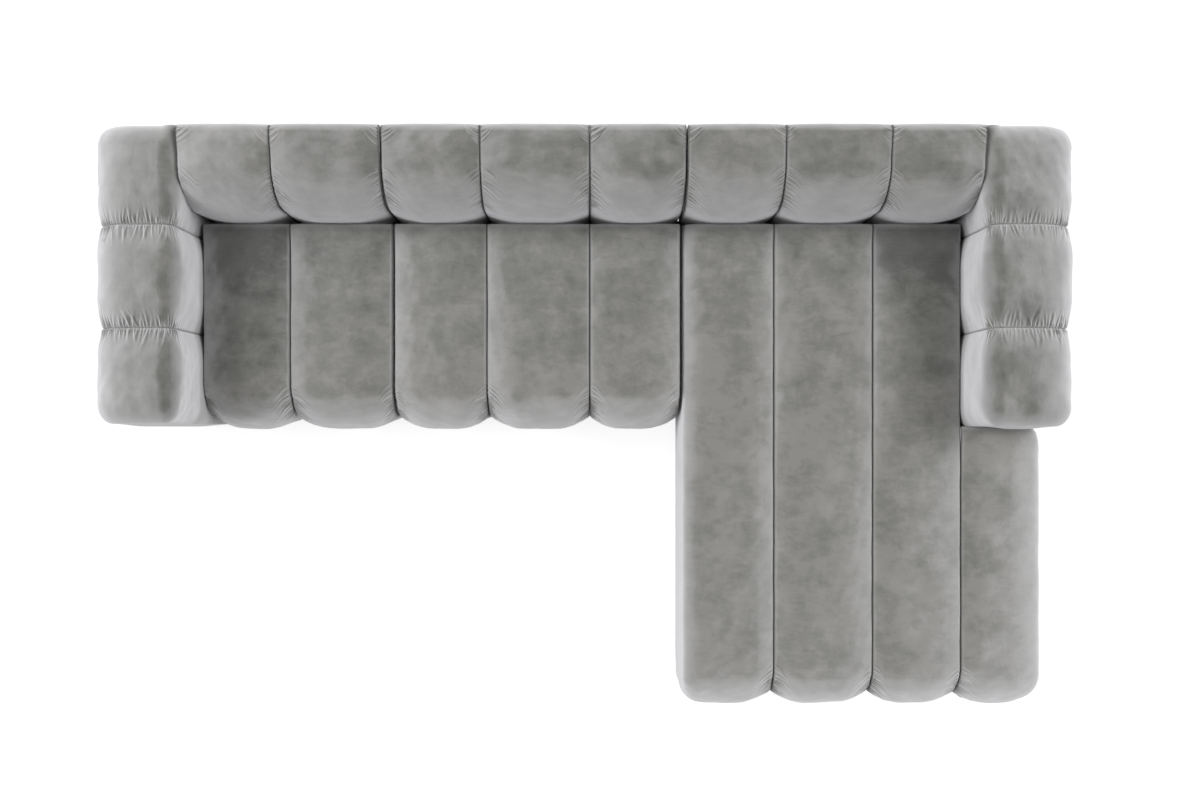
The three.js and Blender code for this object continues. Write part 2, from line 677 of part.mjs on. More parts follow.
// Tongue plate of an outer section: an angle whose flange is screwed under the frame, and whose leg drops into
// the keeper's slot. The leg's corners are cut off to lead it in.
function tonguePlate({ name, boundary, way, y }) {
  const inner = TONGUE_OFFSET - CONNECTOR_PLATE / 2;
  const outer = TONGUE_OFFSET + CONNECTOR_PLATE / 2;
  const flangeBottom = footTop - CONNECTOR_PLATE;
  const tip = flangeBottom - TONGUE_LENGTH;
  const at = (reach, level) => new THREE.Vector2(boundary + way * reach, level);
  const edge = facing(way, [
    at(inner, tip),
    at(outer, tip),
    at(outer, flangeBottom),
    at(TONGUE_PLATE_REACH, flangeBottom),
    at(TONGUE_PLATE_REACH, footTop),
    at(inner, footTop),
  ]);
  const holes = [0, 1].map((place) => ({
    x: boundary + way * (TONGUE_PLATE_REACH - SCREW_HOLE_SETBACK - place * TONGUE_HOLE_PITCH),
    y,
  }));
  const corner = TONGUE_TIP + OVERRUN;
  const cornerCuts = [-1, 1].map((side) =>
    new THREE.ExtrudeGeometry(
      new THREE.Shape([
        new THREE.Vector2(0, 0),
        new THREE.Vector2(-side * corner, -corner),
        new THREE.Vector2(0, -corner),
      ]),
      { depth: 2 * OVERRUN, bevelEnabled: false },
    )
      .rotateX(Math.PI / 2)
      .rotateZ(Math.PI / 2)
      .translate(boundary + way * TONGUE_OFFSET - OVERRUN, y + (side * TONGUE_WIDTH) / 2, tip + TONGUE_TIP),
  );
  const plate = cutFrom(pressedPlate({ edge, width: TONGUE_WIDTH, y, holes }), cornerCuts);
  return named(name, geometryFrom(plate), zincSteel);
}

// Seat and back channels of a run of seams. firstEdge and lastEdge say how the run meets what is beside it.
function channelRun({ section, seams, frontY, firstEdge, lastEdge }) {
  return seams.slice(1).flatMap((seam, i) => {
    const isFirst = i === 0;
    const isLast = i === seams.length - 2;
    const x0 = seams[i] + (isFirst ? firstEdge.gap : CONTACT_GAP / 2);
    const x1 = seam - (isLast ? lastEdge.gap : CONTACT_GAP / 2);
    const reach = (x1 - x0) / 2;
    const startWall = isFirst ? firstEdge.wall : 0;
    const finishWall = isLast ? lastEdge.wall : 0;
    return [
      seatChannel({
        name: `${section}_seat_channel_${i + 1}`,
        x0,
        x1,
        frontY,
        heelY: backFrontY - CONTACT_GAP,
        startEnd: isFirst && firstEdge.rounded ? roundedEnd() : seamEnd(reach),
        finishEnd: seamEnd(reach),
        startWall,
        finishWall,
      }),
      backChannel({
        name: `${section}_back_channel_${i + 1}`,
        x0,
        x1,
        startWall: startWall && LINING,
        finishWall: finishWall && LINING,
      }),
    ];
  });
}

const middleOf = (a, b) => (a + b) / 2;
const channelMiddles = (seams) => seams.slice(1).map((seam, i) => middleOf(seams[i], seam));
const besideSection = { gap: halfGap, wall: LINING, rounded: false };
const besideArm = { gap: CONTACT_GAP, wall: 0, rounded: false };
const openSide = { gap: halfGap, wall: CHAISE_SIDE_PAD, rounded: true };

// Left section: an arm and two channels
function leftSection() {
  const group = new THREE.Group();
  const innerX = leftSeams[0];
  const plan = framePlan({
    x0: leftEdge,
    x1: leftSeams.at(-1) - halfGap,
    startPad: ARM_OUTER_PAD,
    finishPad: LINING,
    frontY: sofaFrontY,
  });
  group.add(
    ...channelRun({
      section: "left",
      seams: leftSeams,
      frontY: sofaFrontY,
      firstEdge: besideArm,
      lastEdge: besideSection,
    }),
    ...armChannels({ section: "left", outerX: leftEdge, innerX, side: -1, frameRunsOn: false }),
    baseFrame({
      name: "left_base_frame",
      plan,
      joists: leftSeams.slice(0, -1),
      crossRails: [backFrontY, ...railsBetween(plan.y0, backFrontY)],
      anchorSides: [1],
    }),
    backFrame({ name: "left_back_frame", x0: innerX + CONTACT_GAP, x1: plan.x1, seams: leftSeams.slice(1, -1) }),
    armFrame({ name: "left_arm_frame", outerX: leftEdge, innerX, side: -1 }),
    seatWebbing({
      name: "left_seat_webbing",
      x0: innerX + CONTACT_GAP,
      x1: plan.x1,
      y0: plan.y0,
      y1: backFrontY,
      middles: channelMiddles(leftSeams),
      crossPlaces: strapPlaces(plan.y0, backFrontY),
      cutAway: [],
    }),
    dustCover({ name: "left_dust_cover", plan }),
    ...feet({ section: "left", plan, middleRows: {} }),
  );
  for (const [row, y] of Object.entries(connectorRows)) {
    group.add(tonguePlate({ name: `left_tongue_plate_${row}`, boundary: leftSeams.at(-1), way: -1, y }));
  }
  return group;
}

// Middle section: three channels and no arm. It carries the keeper plates for both neighbours.
function middleSection() {
  const group = new THREE.Group();
  const plan = framePlan({
    x0: middleSeams[0] + halfGap,
    x1: middleSeams.at(-1) - halfGap,
    startPad: LINING,
    finishPad: LINING,
    frontY: sofaFrontY,
  });
  group.add(
    ...channelRun({
      section: "middle",
      seams: middleSeams,
      frontY: sofaFrontY,
      firstEdge: besideSection,
      lastEdge: besideSection,
    }),
    baseFrame({
      name: "middle_base_frame",
      plan,
      joists: middleSeams.slice(1, -1),
      crossRails: [backFrontY, ...railsBetween(plan.y0, backFrontY)],
      anchorSides: [-1, 1],
    }),
    backFrame({ name: "middle_back_frame", x0: plan.x0, x1: plan.x1, seams: middleSeams.slice(1, -1) }),
    seatWebbing({
      name: "middle_seat_webbing",
      x0: plan.x0,
      x1: plan.x1,
      y0: plan.y0,
      y1: backFrontY,
      middles: channelMiddles(middleSeams),
      crossPlaces: strapPlaces(plan.y0, backFrontY),
      cutAway: [],
    }),
    dustCover({ name: "middle_dust_cover", plan }),
    ...feet({ section: "middle", plan, middleRows: {} }),
  );
  for (const [row, y] of Object.entries(connectorRows)) {
    group.add(
      keeperPlate({ name: `middle_keeper_plate_left_${row}`, boundary: middleSeams[0], way: -1, y }),
      keeperPlate({ name: `middle_keeper_plate_right_${row}`, boundary: middleSeams.at(-1), way: 1, y }),
    );
  }
  return group;
}

// Chaise section: three long channels beside the arm, and a fourth that starts at the arm's front face
function chaiseSection() {
  const group = new THREE.Group();
  const innerX = chaiseSeams.at(-1);
  const plan = framePlan({
    x0: chaiseSeams[0] + halfGap,
    x1: rightEdge,
    startPad: CHAISE_SIDE_PAD,
    finishPad: ARM_OUTER_PAD,
    frontY: chaiseFrontY,
  });
  const outerX0 = innerX + CONTACT_GAP / 2;
  const outerX1 = rightEdge - CHAISE_SIDE_SETBACK;
  const outerHeelY = armFrontY - CONTACT_GAP;
  const underArm = boxBetween(
    [innerX, armFrontY, webbingBottom - OVERRUN],
    [plan.x1 + OVERRUN, backFrontY + OVERRUN, webbingTop + OVERRUN],
  );
  const crossRails = [
    backFrontY,
    ...railsBetween(sofaFrontY, backFrontY),
    sofaFrontY,
    ...railsBetween(plan.y0, sofaFrontY),
  ];
  const besideOuterChannel = { gap: CONTACT_GAP, wall: 0, rounded: false };
  group.add(
    ...channelRun({
      section: "chaise",
      seams: chaiseSeams,
      frontY: chaiseFrontY,
      firstEdge: openSide,
      lastEdge: besideOuterChannel,
    }),
    seatChannel({
      name: "chaise_seat_channel_4",
      x0: outerX0,
      x1: outerX1,
      frontY: chaiseFrontY,
      heelY: outerHeelY,
      startEnd: seamEnd((outerX1 - outerX0) / 2),
      finishEnd: roundedEnd(),
      startWall: 0,
      finishWall: ARM_OUTER_PAD - CHAISE_SIDE_SETBACK,
      cutAway: [heelCorner(outerX1, outerHeelY)],
    }),
    ...armChannels({ section: "chaise", outerX: rightEdge, innerX, side: 1, frameRunsOn: true }),
    baseFrame({
      name: "chaise_base_frame",
      plan,
      joists: chaiseSeams.slice(1),
      crossRails,
      anchorSides: [-1],
    }),
    backFrame({
      name: "chaise_back_frame",
      x0: plan.x0,
      x1: innerX - CONTACT_GAP,
      seams: chaiseSeams.slice(1, -1),
    }),
    armFrame({ name: "chaise_arm_frame", outerX: rightEdge, innerX, side: 1 }),
    seatWebbing({
      name: "chaise_seat_webbing",
      x0: plan.x0,
      x1: plan.x1,
      y0: plan.y0,
      y1: backFrontY,
      middles: [...channelMiddles(chaiseSeams), middleOf(innerX, plan.x1)],
      crossPlaces: [...strapPlaces(plan.y0, sofaFrontY), ...strapPlaces(sofaFrontY, backFrontY)],
      cutAway: [underArm],
    }),
    dustCover({ name: "chaise_dust_cover", plan }),
    ...feet({ section: "chaise", plan, middleRows: { middle: sofaFrontY } }),
  );
  for (const [row, y] of Object.entries(connectorRows)) {
    group.add(tonguePlate({ name: `chaise_tongue_plate_${row}`, boundary: chaiseSeams[0], way: 1, y }));
  }
  return group;
}

const sofa = new THREE.Group();
sofa.add(leftSection(), middleSection(), chaiseSection());

export default sofa;
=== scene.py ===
"""Looks of a low sectional sofa with a chaise, dressed round its fixed frame.

Three sections stand side by side. Each is a timber frame under deep channelled padding in grey velvet. Every
channel is a surface worked out on a grid: a section outline, carried across the channel's width and drawn in
at its seams, with gathers where the cover turns over an edge. Lengths are in metres.
"""

import json
import logging
import math
from dataclasses import dataclass, replace
from enum import Enum

import bpy
import numpy as np
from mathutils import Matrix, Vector
from mathutils.geometry import delaunay_2d_cdt


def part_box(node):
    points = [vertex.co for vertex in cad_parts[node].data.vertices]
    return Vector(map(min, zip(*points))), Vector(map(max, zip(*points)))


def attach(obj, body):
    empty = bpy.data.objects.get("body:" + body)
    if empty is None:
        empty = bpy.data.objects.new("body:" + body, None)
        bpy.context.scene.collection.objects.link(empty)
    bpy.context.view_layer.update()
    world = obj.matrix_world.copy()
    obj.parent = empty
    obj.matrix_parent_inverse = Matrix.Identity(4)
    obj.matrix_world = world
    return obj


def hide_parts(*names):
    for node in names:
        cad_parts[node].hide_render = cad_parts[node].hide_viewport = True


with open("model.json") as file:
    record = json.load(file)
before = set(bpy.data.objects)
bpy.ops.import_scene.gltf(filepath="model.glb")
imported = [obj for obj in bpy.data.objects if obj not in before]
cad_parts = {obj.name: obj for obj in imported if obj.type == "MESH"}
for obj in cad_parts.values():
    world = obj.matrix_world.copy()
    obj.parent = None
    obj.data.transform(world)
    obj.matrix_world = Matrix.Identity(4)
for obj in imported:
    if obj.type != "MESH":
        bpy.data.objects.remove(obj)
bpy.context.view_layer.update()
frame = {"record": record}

CLEARANCE = 0.0003
CLEARANCE_EACH_WAY = Vector((CLEARANCE,) * 3)
TURN = 2 * math.pi
NO_LENGTH = 1e-7
WHITE = (1, 1, 1, 1)

Pair = tuple[float, float]
Colour = tuple[float, float, float]
Array = np.ndarray
Mesh = bpy.types.Mesh
Material = bpy.types.Material
Outputs = bpy.types.NodeOutputs
Socket = bpy.types.NodeSocket

log = logging.getLogger("sofa")


class Finish(Enum):
    """How one end of a channel is finished."""

    SEWN = "sewn to the next channel"
    EDGE = "rounded over a free edge"


class Along(Enum):
    """The axis that a channel's width lies along, by its number."""

    X = 0
    Y = 1


@dataclass(frozen=True)
class ChannelEnd:
    """One end of a channel's width.

    Attributes:
        width, drop: width over which a free edge rounds away, and how far.
        bulge: how far the face that closes a free end stands out in its middle.
        inset: how far the end starts inside the node's own side.
        face_grid, face_edge: distance between the points inside that face, and of them from its edge.
        face_rise: distance from the edge over which it rises.
    """

    finish: Finish = Finish.SEWN
    width: float = 0.0
    drop: float = 0.0
    bulge: float = 0.0
    inset: float = 0.0
    face_grid: float = 0.016
    face_edge: float = 0.008
    face_rise: float = 0.090


SEWN = ChannelEnd()


@dataclass(frozen=True)
class Corner:
    """A corner of a section outline, turned by a quarter of an ellipse.

    Attributes:
        u: place along the section's level axis.
        v: height.
        before: where the turn starts, ahead of the corner.
        after: where it finishes, past the corner.
    """

    u: float
    v: float
    before: float = 0.0
    after: float = 0.0


@dataclass(frozen=True)
class Gathering:
    """A stretch of seam that puckers the cover.

    Attributes:
        start, finish: places in the section where it starts and finishes.
        lean: how far the folds lean towards the finish for each metre that they run out.
    """

    start: Pair
    finish: Pair
    lean: float


@dataclass(frozen=True)
class RowSpacing:
    """How closely an outline is sampled.

    Attributes:
        close, wide: distance between rows where it is gathered, and elsewhere.
        past: how far past a gathering the rows start to spread, and where they have spread.
        dense: distance between the samples that it is worked out on.
        smooth: half the length that its outward directions are averaged over.
    """

    close: float = 0.0019
    wide: float = 0.011
    past: Pair = (0.01, 0.05)
    dense: float = 0.0006
    smooth: float = 0.006


@dataclass(frozen=True)
class ColumnSpacing:
    """How closely a channel's width is sampled.

    Attributes:
        steep: width of the steep strip beside a sewn end.
        steps: columns in the steep strip of a sewn end, and of a free one.
        past, fine_to: how far the fine columns go on at least, past that strip and from the end.
        fine, wide: distance between the fine columns, and between those in the middle.
    """

    steep: float = 0.016
    steps: tuple[int, int] = (9, 22)
    past: float = 0.008
    fine_to: float = 0.064
    fine: float = 0.0032
    wide: float = 0.008

    def distances(self, half: float, end: ChannelEnd) -> Array:
        """Distances from an end of a channel to its middle.

        Args:
            half: half the channel's width.
            end: how the end is finished.

        Returns:
            Rising distances from 0 to half.
        """
        free = end.finish is Finish.EDGE
        steep = end.width if free else self.steep
        near = steep * (1 - np.cos(np.linspace(0, math.pi / 2, self.steps[free])))
        fine = np.arange(near[-1], max(steep + self.past, self.fine_to), self.fine)[1:]
        wide = np.linspace(fine[-1], half, max(int((half - fine[-1]) / self.wide), 2))[1:]
        return np.concatenate([near, fine, wide])


def fade(values: Array, start: float, finish: float) -> Array:
    """Rises smoothly from 0 at start to 1 at finish, by the cubic 3t^2 - 2t^3."""
    share = np.clip((values - start) / (finish - start), 0, 1)
    return share * share * (3 - 2 * share)


def quarter_drop(distance: Array, width: Array | float) -> Array:
    """How far a quarter ellipse lies under its crown: 1 at no distance, 0 from the width on."""
    share = np.clip(1 - distance / width, 0, 1)
    return 1 - np.sqrt(1 - share**2)


def carried(travel: Array, knots: Array, values: Array) -> Array:
    """Columns of values, carried from their own distances along a line to others."""
    return np.stack([np.interp(travel, knots, column) for column in values.T], axis=1)


def cubic_weights(places: Array, knots: Array) -> Array:
    """Weights that carry values at evenly spaced knots to places between them, by Catmull-Rom cubics.

    Args:
        places: (places,) where the values are wanted.
        knots: (knots,) where they are known.

    Returns:
        (places, knots) weights.
    """
    at = np.interp(places, knots, np.arange(len(knots)))
    first = np.minimum(at.astype(int), len(knots) - 2)
    t = at - first
    taps = (-(t**3) + 2 * t**2 - t, 3 * t**3 - 5 * t**2 + 2, -3 * t**3 + 4 * t**2 + t, t**3 - t**2)
    weights = np.zeros((len(places), len(knots)))
    for step, tap in enumerate(taps, start=-1):
        np.add.at(weights, (np.arange(len(places)), np.clip(first + step, 0, len(knots) - 1)), tap / 2)
    return weights


def grid_faces(grid: Array) -> Array:
    """Corners of the four-cornered faces between neighbours in a grid of vertex numbers."""
    corners = [grid[:-1, :-1], grid[1:, :-1], grid[1:, 1:], grid[:-1, 1:]]
    return np.stack(corners, axis=-1).reshape(-1, 4)


def inside(points: Array, ring: Array) -> Array:
    """Whether points lie in a polygon: an odd number of its sides crosses the ray from each towards +u.

    Args:
        points: (points, 2) places.
        ring: (corners, 2) corners in order.

    Returns:
        (points,) truths.
    """
    u, v = points[:, 0, None], points[:, 1, None]
    u0, v0 = ring[:, 0], ring[:, 1]
    u1, v1 = np.roll(u0, -1), np.roll(v0, -1)
    level = np.where(v1 == v0, 1.0, v1 - v0)
    crosses = ((v0 > v) != (v1 > v)) & (u < (u1 - u0) * (v - v0) / level + u0)
    return crosses.sum(axis=1) % 2 == 1


def ring_distance(points: Array, ring: Array) -> Array:
    """Shortest distance from points to the sides of a polygon.

    Args:
        points: (points, 2) places.
        ring: (corners, 2) corners in order.

    Returns:
        (points,) distances.
    """
    sides = np.roll(ring, -1, axis=0) - ring
    offsets = points[:, None, :] - ring[None]
    share = np.clip((offsets * sides).sum(axis=2) / np.maximum((sides**2).sum(axis=1), 1e-12), 0, 1)
    return np.linalg.norm(offsets - share[..., None] * sides, axis=2).min(axis=1)


def new_object(name: str, points: Array, faces: list[tuple[int, ...]]) -> bpy.types.Object:
    """Makes a mesh and its object, and puts the object into the scene.

    Args:
        name: name of both.
        points: (vertices, 3) places.
        faces: corners of each face.

    Returns:
        The object.
    """
    mesh = bpy.data.meshes.new(name)
    mesh.from_pydata(points, [], faces)
    piece = bpy.data.objects.new(name, mesh)
    bpy.context.scene.collection.objects.link(piece)
    return piece


def shade_smooth(mesh: Mesh, degrees: float) -> None:
    """Shades a mesh smooth, apart from edges that turn by more than an angle."""
    mesh.polygons.foreach_set("use_smooth", np.ones(len(mesh.polygons), bool))
    mesh.set_sharp_from_angle(angle=math.radians(degrees))


def read_places(mesh: Mesh) -> Array:
    """The (vertices, 3) places of a mesh."""
    places = np.zeros(len(mesh.vertices) * 3, np.float32)
    mesh.vertices.foreach_get("co", places)
    return places.reshape(-1, 3)


def read_loops(mesh: Mesh) -> Array:
    """The vertex of each face corner of a mesh, in order."""
    loops = np.zeros(len(mesh.loops), np.int32)
    mesh.loops.foreach_get("vertex_index", loops)
    return loops


def write_values(mesh: Mesh, name: str, domain: str, values: Array) -> None:
    """Writes an attribute of points or corners, of numbers or of rows of three."""
    kind, field = ("FLOAT_VECTOR", "vector") if values.ndim > 1 else ("FLOAT", "value")
    mesh.attributes.new(name, kind, domain).data.foreach_set(field, values.astype(np.float32).ravel())


class Outline:
    """A section outline, sampled finely, with the rows of the mesh chosen along it.

    Attributes:
        travel: (samples,) distances along the outline.
        points: (samples, 2) places in the section's plane.
        outward: (samples, 2) unit directions out of the padding.
        gatherings: (start, finish, lean) of each gathered stretch, by distance.
        rows: (rows,) distances of the mesh's rows.
    """

    TURN_SAMPLES = 64
    HANDLE = 0.5523

    def __init__(
        self, corners: list[Corner], gatherings: list[Gathering], spacing: RowSpacing = RowSpacing()
    ) -> None:
        """Carries a line through the corners and samples it.

        The rows lie closer where the cover is gathered: their density is the inverse of the wanted spacing,
        summed along the line.

        Args:
            corners: the corners in order, the first and last with no turn.
            gatherings: the gathered stretches.
            spacing: how closely to sample.
        """
        line = self.line_through(corners)
        steps = np.linalg.norm(np.diff(line, axis=0), axis=1)
        line = line[np.concatenate([[True], steps > NO_LENGTH])]
        run = np.concatenate([[0], np.cumsum(np.linalg.norm(np.diff(line, axis=0), axis=1))])
        self.travel = np.append(np.arange(0, run[-1] - spacing.dense / 2, spacing.dense), run[-1])
        self.points = carried(self.travel, run, line)
        reach = round(spacing.smooth / spacing.dense)
        even = np.ones(2 * reach + 1) / (2 * reach + 1)
        ways = np.gradient(self.points, self.travel, axis=0).T
        ways = np.stack([np.convolve(np.pad(way, reach, "edge"), even, "valid") for way in ways], axis=1)
        ways /= np.linalg.norm(ways, axis=1)[:, None]
        self.outward = np.stack([ways[:, 1], -ways[:, 0]], axis=1)
        self.gatherings = [(self.travel_at(g.start), self.travel_at(g.finish), g.lean) for g in gatherings]
        near = np.zeros_like(self.travel)
        for start, finish, _ in self.gatherings:
            past = np.abs(self.travel - (start + finish) / 2) - (finish - start) / 2
            near = np.maximum(near, 1 - fade(past, *spacing.past))
        pace = near / spacing.close + (1 - near) / spacing.wide
        count = np.concatenate([[0], np.cumsum((pace[1:] + pace[:-1]) / 2 * np.diff(self.travel))])
        self.rows = np.interp(np.linspace(0, count[-1], int(count[-1]) + 2), count, self.travel)

    def line_through(self, corners: list[Corner]) -> Array:
        """The outline as a dense chain of points.

        Each corner is a cubic curve whose handles reach 0.5523 of the way to the corner, which is a quarter
        ellipse to within a thousandth.

        Args:
            corners: the corners in order.

        Returns:
            (points, 2) places.
        """
        places = np.array([(corner.u, corner.v) for corner in corners])
        legs = np.diff(places, axis=0)
        ways = legs / np.linalg.norm(legs, axis=1)[:, None]
        chain = [places[:1]]
        t = np.linspace(0, 1, self.TURN_SAMPLES)[:, None]
        for i, corner in enumerate(corners[1:-1], start=1):
            a = places[i] - ways[i - 1] * corner.before
            d = places[i] + ways[i] * corner.after
            b, c = (end + (places[i] - end) * self.HANDLE for end in (a, d))
            chain.append(a * (1 - t) ** 3 + 3 * b * t * (1 - t) ** 2 + 3 * c * t**2 * (1 - t) + d * t**3)
        return np.concatenate([*chain, places[-1:]])

    def travel_at(self, place: Pair) -> float:
        """Distance along the outline of its point nearest to a place."""
        return float(self.travel[np.argmin(np.linalg.norm(self.points - np.array(place), axis=1))])

    def at(self, travel: Array) -> tuple[Array, Array]:
        """Places and outward unit directions at distances along the outline."""
        points, outward = (carried(travel, self.travel, values) for values in (self.points, self.outward))
        return points, outward / np.linalg.norm(outward, axis=1)[:, None]


@dataclass(frozen=True)
class Drawing:
    """How far and how widely a seam draws the padding in. A pair holds for the top and for the front face.

    Attributes:
        depth, shoulder: how far the seam lies under the crown, and the width of the roll into it.
        crease_share, crease: share of the depth that the steep crease takes, and its width.
        crease_shade, fold_shade: how dark the painted shade is, from 0 to 1, in the crease and in the
        fold against the next cushion.
        crease_edge: widths of the painted dark line's bell curve in one crease.
    """

    depth: Pair = (0.026, 0.050)
    shoulder: Pair = (0.070, 0.118)
    crease_share: Pair = (0.40, 0.15)
    crease: float = 0.010
    crown: float = 0.003
    crease_shade: float = 1.0
    crease_edge: float = 2.3
    fold_shade: float = 0.35

    def drop(self, distance: Array, front: Array) -> Array:
        """How far the padding lies under its crown beside a seam.

        It is a parabola over the whole shoulder, (1 - distance / width)^2, and a quarter ellipse over the
        narrow crease at the seam itself, added by their shares of the depth.

        Args:
            distance: (1, columns) distances from the seam.
            front: (rows, 1) how far each row is drawn in as on the front face, from 0 to 1.

        Returns:
            (rows, columns) depths.
        """
        pairs = (self.depth, self.shoulder, self.crease_share)
        depth, width, share = (top + (ahead - top) * front for top, ahead in pairs)
        wide = np.clip(1 - distance / width, 0, 1) ** 2
        return depth * (wide * (1 - share) + quarter_drop(distance, self.crease) * share)


@dataclass(frozen=True)
class Gather:
    """The short folds that a seam puckers into the cover.

    Attributes:
        pitch: distance from one fold to the next along the seam.
        height, width, length: a fold's height, half width, and how far it runs out from the seam.
        straying: how far folds stray along the seam, as a share of the pitch.
        strengths, lengths, widths: least and greatest share of the height, the length and the width.
        lean_spread, widening: how far their leans differ, and how much wider a fold grows, as a share.
        valley: depth, place and width of the valley past a fold, as shares of the fold's own.
        rising: distances from the seam between which a fold rises.
        end_strength: strength in mid-stretch before it is cut to 1, and the least at the stretch's ends.
    """

    pitch: float = 0.0160
    height: float = 0.0066
    width: float = 0.0025
    length: float = 0.036
    straying: float = 0.20
    strengths: Pair = (0.4, 1.0)
    lengths: Pair = (0.6, 1.45)
    lean_spread: float = 0.14
    widths: Pair = (0.75, 1.35)
    widening: float = 0.35
    valley: tuple[float, float, float] = (0.55, 2.1, 0.75)
    rising: Pair = (-0.002, 0.005)
    end_strength: Pair = (1.2, 0.3)

    def relief(
        self,
        travel: Array,
        distance: Array,
        gathering: tuple[float, float, float],
        chance: np.random.Generator,
    ) -> Array:
        """Height of the folds on one gathered stretch of one seam.

        Each fold is a ridge whose section is a bell curve, with a narrower valley of the same kind tucked in
        past it. It starts at the seam, bends over towards the stretch's finish as it runs out, by
        lean x (distance + distance^2 / length) / 2, grows wider, and dies away by another bell curve over its
        own length.

        Args:
            travel: (rows,) distance along the outline.
            distance: (columns,) distance from the seam.
            gathering: start, finish and lean of the stretch.
            chance: seeded random numbers, which vary each fold.

        Returns:
            (rows, columns) heights.
        """
        start, finish, lean = gathering
        count = max(round((finish - start) / self.pitch), 2)
        shares = (np.arange(count) + 0.5) / count
        starts = start + (shares + chance.normal(0, self.straying / count, count)) * (finish - start)
        highest, lowest = self.end_strength
        strength = np.clip(highest - (2 * shares - 1) ** 4, lowest, 1)
        strength = strength * chance.uniform(*self.strengths, count)
        lengths = self.length * chance.uniform(*self.lengths, count)
        leans = lean + chance.normal(0, self.lean_spread, count)
        widths = self.width * chance.uniform(*self.widths, count)
        rows, columns = travel[:, None, None], distance[None, :, None]
        ridge = starts + leans * (columns + columns**2 / self.length) / 2
        place = (rows - ridge) / (widths * (1 + self.widening * columns / self.length))
        depth, past, narrow = self.valley
        across = np.exp(-(place**2) / 2) - depth * np.exp(-(((place - past) / narrow) ** 2) / 2)
        dying = np.exp(-((columns / lengths) ** 2)) * fade(columns, *self.rising)
        return (self.height * strength * across * dying).sum(axis=2)


@dataclass(frozen=True)
class Swell:
    """Slow swells of soft padding.

    Attributes:
        height: root mean square height.
        scale: typical wavelength.
        waves: number of waves.
        lengths: least and greatest share of the wavelength.
    """

    height: float
    scale: float
    waves: int = 9
    lengths: Pair = (0.6, 1.9)

    def relief(self, across: Array, travel: Array, chance: np.random.Generator) -> Array:
        """The sum of plane waves of random direction and phase.

        Args:
            across: (columns,) places across the channel.
            travel: (rows,) places along the outline.
            chance: seeded random numbers.

        Returns:
            (rows, columns) heights.
        """
        headings = chance.uniform(0, TURN, self.waves)
        lengths = self.scale * chance.uniform(*self.lengths, self.waves)
        phases = chance.uniform(0, TURN, self.waves)
        x = across[None, :, None] * np.cos(headings) + travel[:, None, None] * np.sin(headings)
        return np.sin(TURN * x / lengths + phases).sum(axis=2) * self.height * math.sqrt(2 / self.waves)


@dataclass(frozen=True)
class PileAndPaintedLight:
    """How a cover's pile leans, which steers its painted sheen, and the painted light and shade on its
    colour.

    Attributes:
        lean, front_lean: how far it leans towards +X and +Y, and the same in front of the sofa's front; the
            lean tilts the painted sheen, so that one slope of a cover is painted lighter than the other.
        tone_and_painted_light: how much lighter or darker the whole cover is, partly its own tone and partly
            painted light and shade.
            shaded_rear, rear: how much painted shade lies before the back, and where on Y that rises.
            lit_front, edge: how much painted light lies at the front edge, and how far in front that rises.
        wall: place of an arm that its painted shade lies beside, over what width, and how much darker.
        wall_from, corner, corner_gain: where on Y that painted shade starts, and where and by how much it
            grows towards the corner with the back.
        forward: distances in front of the origin between which the lean changes over.
    """

    lean: Pair = (0.0, 0.0)
    front_lean: Pair | None = None
    tone_and_painted_light: float = 0.0
    shaded_rear: float = 0.0
    lit_front: float = 0.0
    wall: tuple[float, float, float] | None = None
    lean_spread: float = 0.03
    forward: Pair = (-0.10, 0.22)
    rear: Pair = (0.42, 0.70)
    edge: Pair = (-0.36, -0.18)
    wall_from: Pair = (0.12, 0.22)
    corner: Pair = (0.40, 0.66)
    corner_gain: float = 1.7

    def leans(self, places: Array, chance: np.random.Generator) -> Array:
        """Lean of the pile at each place.

        Args:
            places: (places, 3) places.
            chance: seeded random numbers.

        Returns:
            (places, 3) leans, level.
        """
        forward = fade(-places[:, 1], *self.forward)[:, None]
        lean = np.array(self.lean) * (1 - forward) + np.array(self.front_lean or self.lean) * forward
        return np.pad(lean + chance.normal(0, self.lean_spread, 2), ((0, 0), (0, 1)))

    def shades(self, places: Array) -> Array:
        """Painted light and shade at each place, added to the cover's own tone offset.

        Args:
            places: (places, 3) places.

        Returns:
            (places,) shades, each the sum of those that hold there.
        """
        behind = places[:, 1]
        # Painted shade before the back and painted light at the front edge, on the cover's own tone.
        tone_and_painted_light = self.tone_and_painted_light - self.shaded_rear * fade(behind, *self.rear)
        tone_and_painted_light = tone_and_painted_light + self.lit_front * fade(-behind, *self.edge)
        # Painted shade beside an arm, growing towards the corner with the back.
        if self.wall:
            place, reach, amount = self.wall
            grown = 1 + self.corner_gain * fade(behind, *self.corner)
            beside = fade(places[:, 0], place - reach, place) * fade(behind, *self.wall_from)
            tone_and_painted_light = tone_and_painted_light - amount * beside * grown
        return tone_and_painted_light


@dataclass(frozen=True)
class Closing:
    """The hidden faces of a channel, as section points from the outline's end back to its start.

    Attributes:
        hollow: round the frame that the channel is pulled over.
        walled: where a wall closes the channel's end.
        start_wall: thickness of the wall at the start of the width, or 0.
        finish_wall: thickness of the wall at its finish, or 0.
    """

    hollow: list[Pair]
    walled: list[Pair]
    start_wall: float = 0.0
    finish_wall: float = 0.0


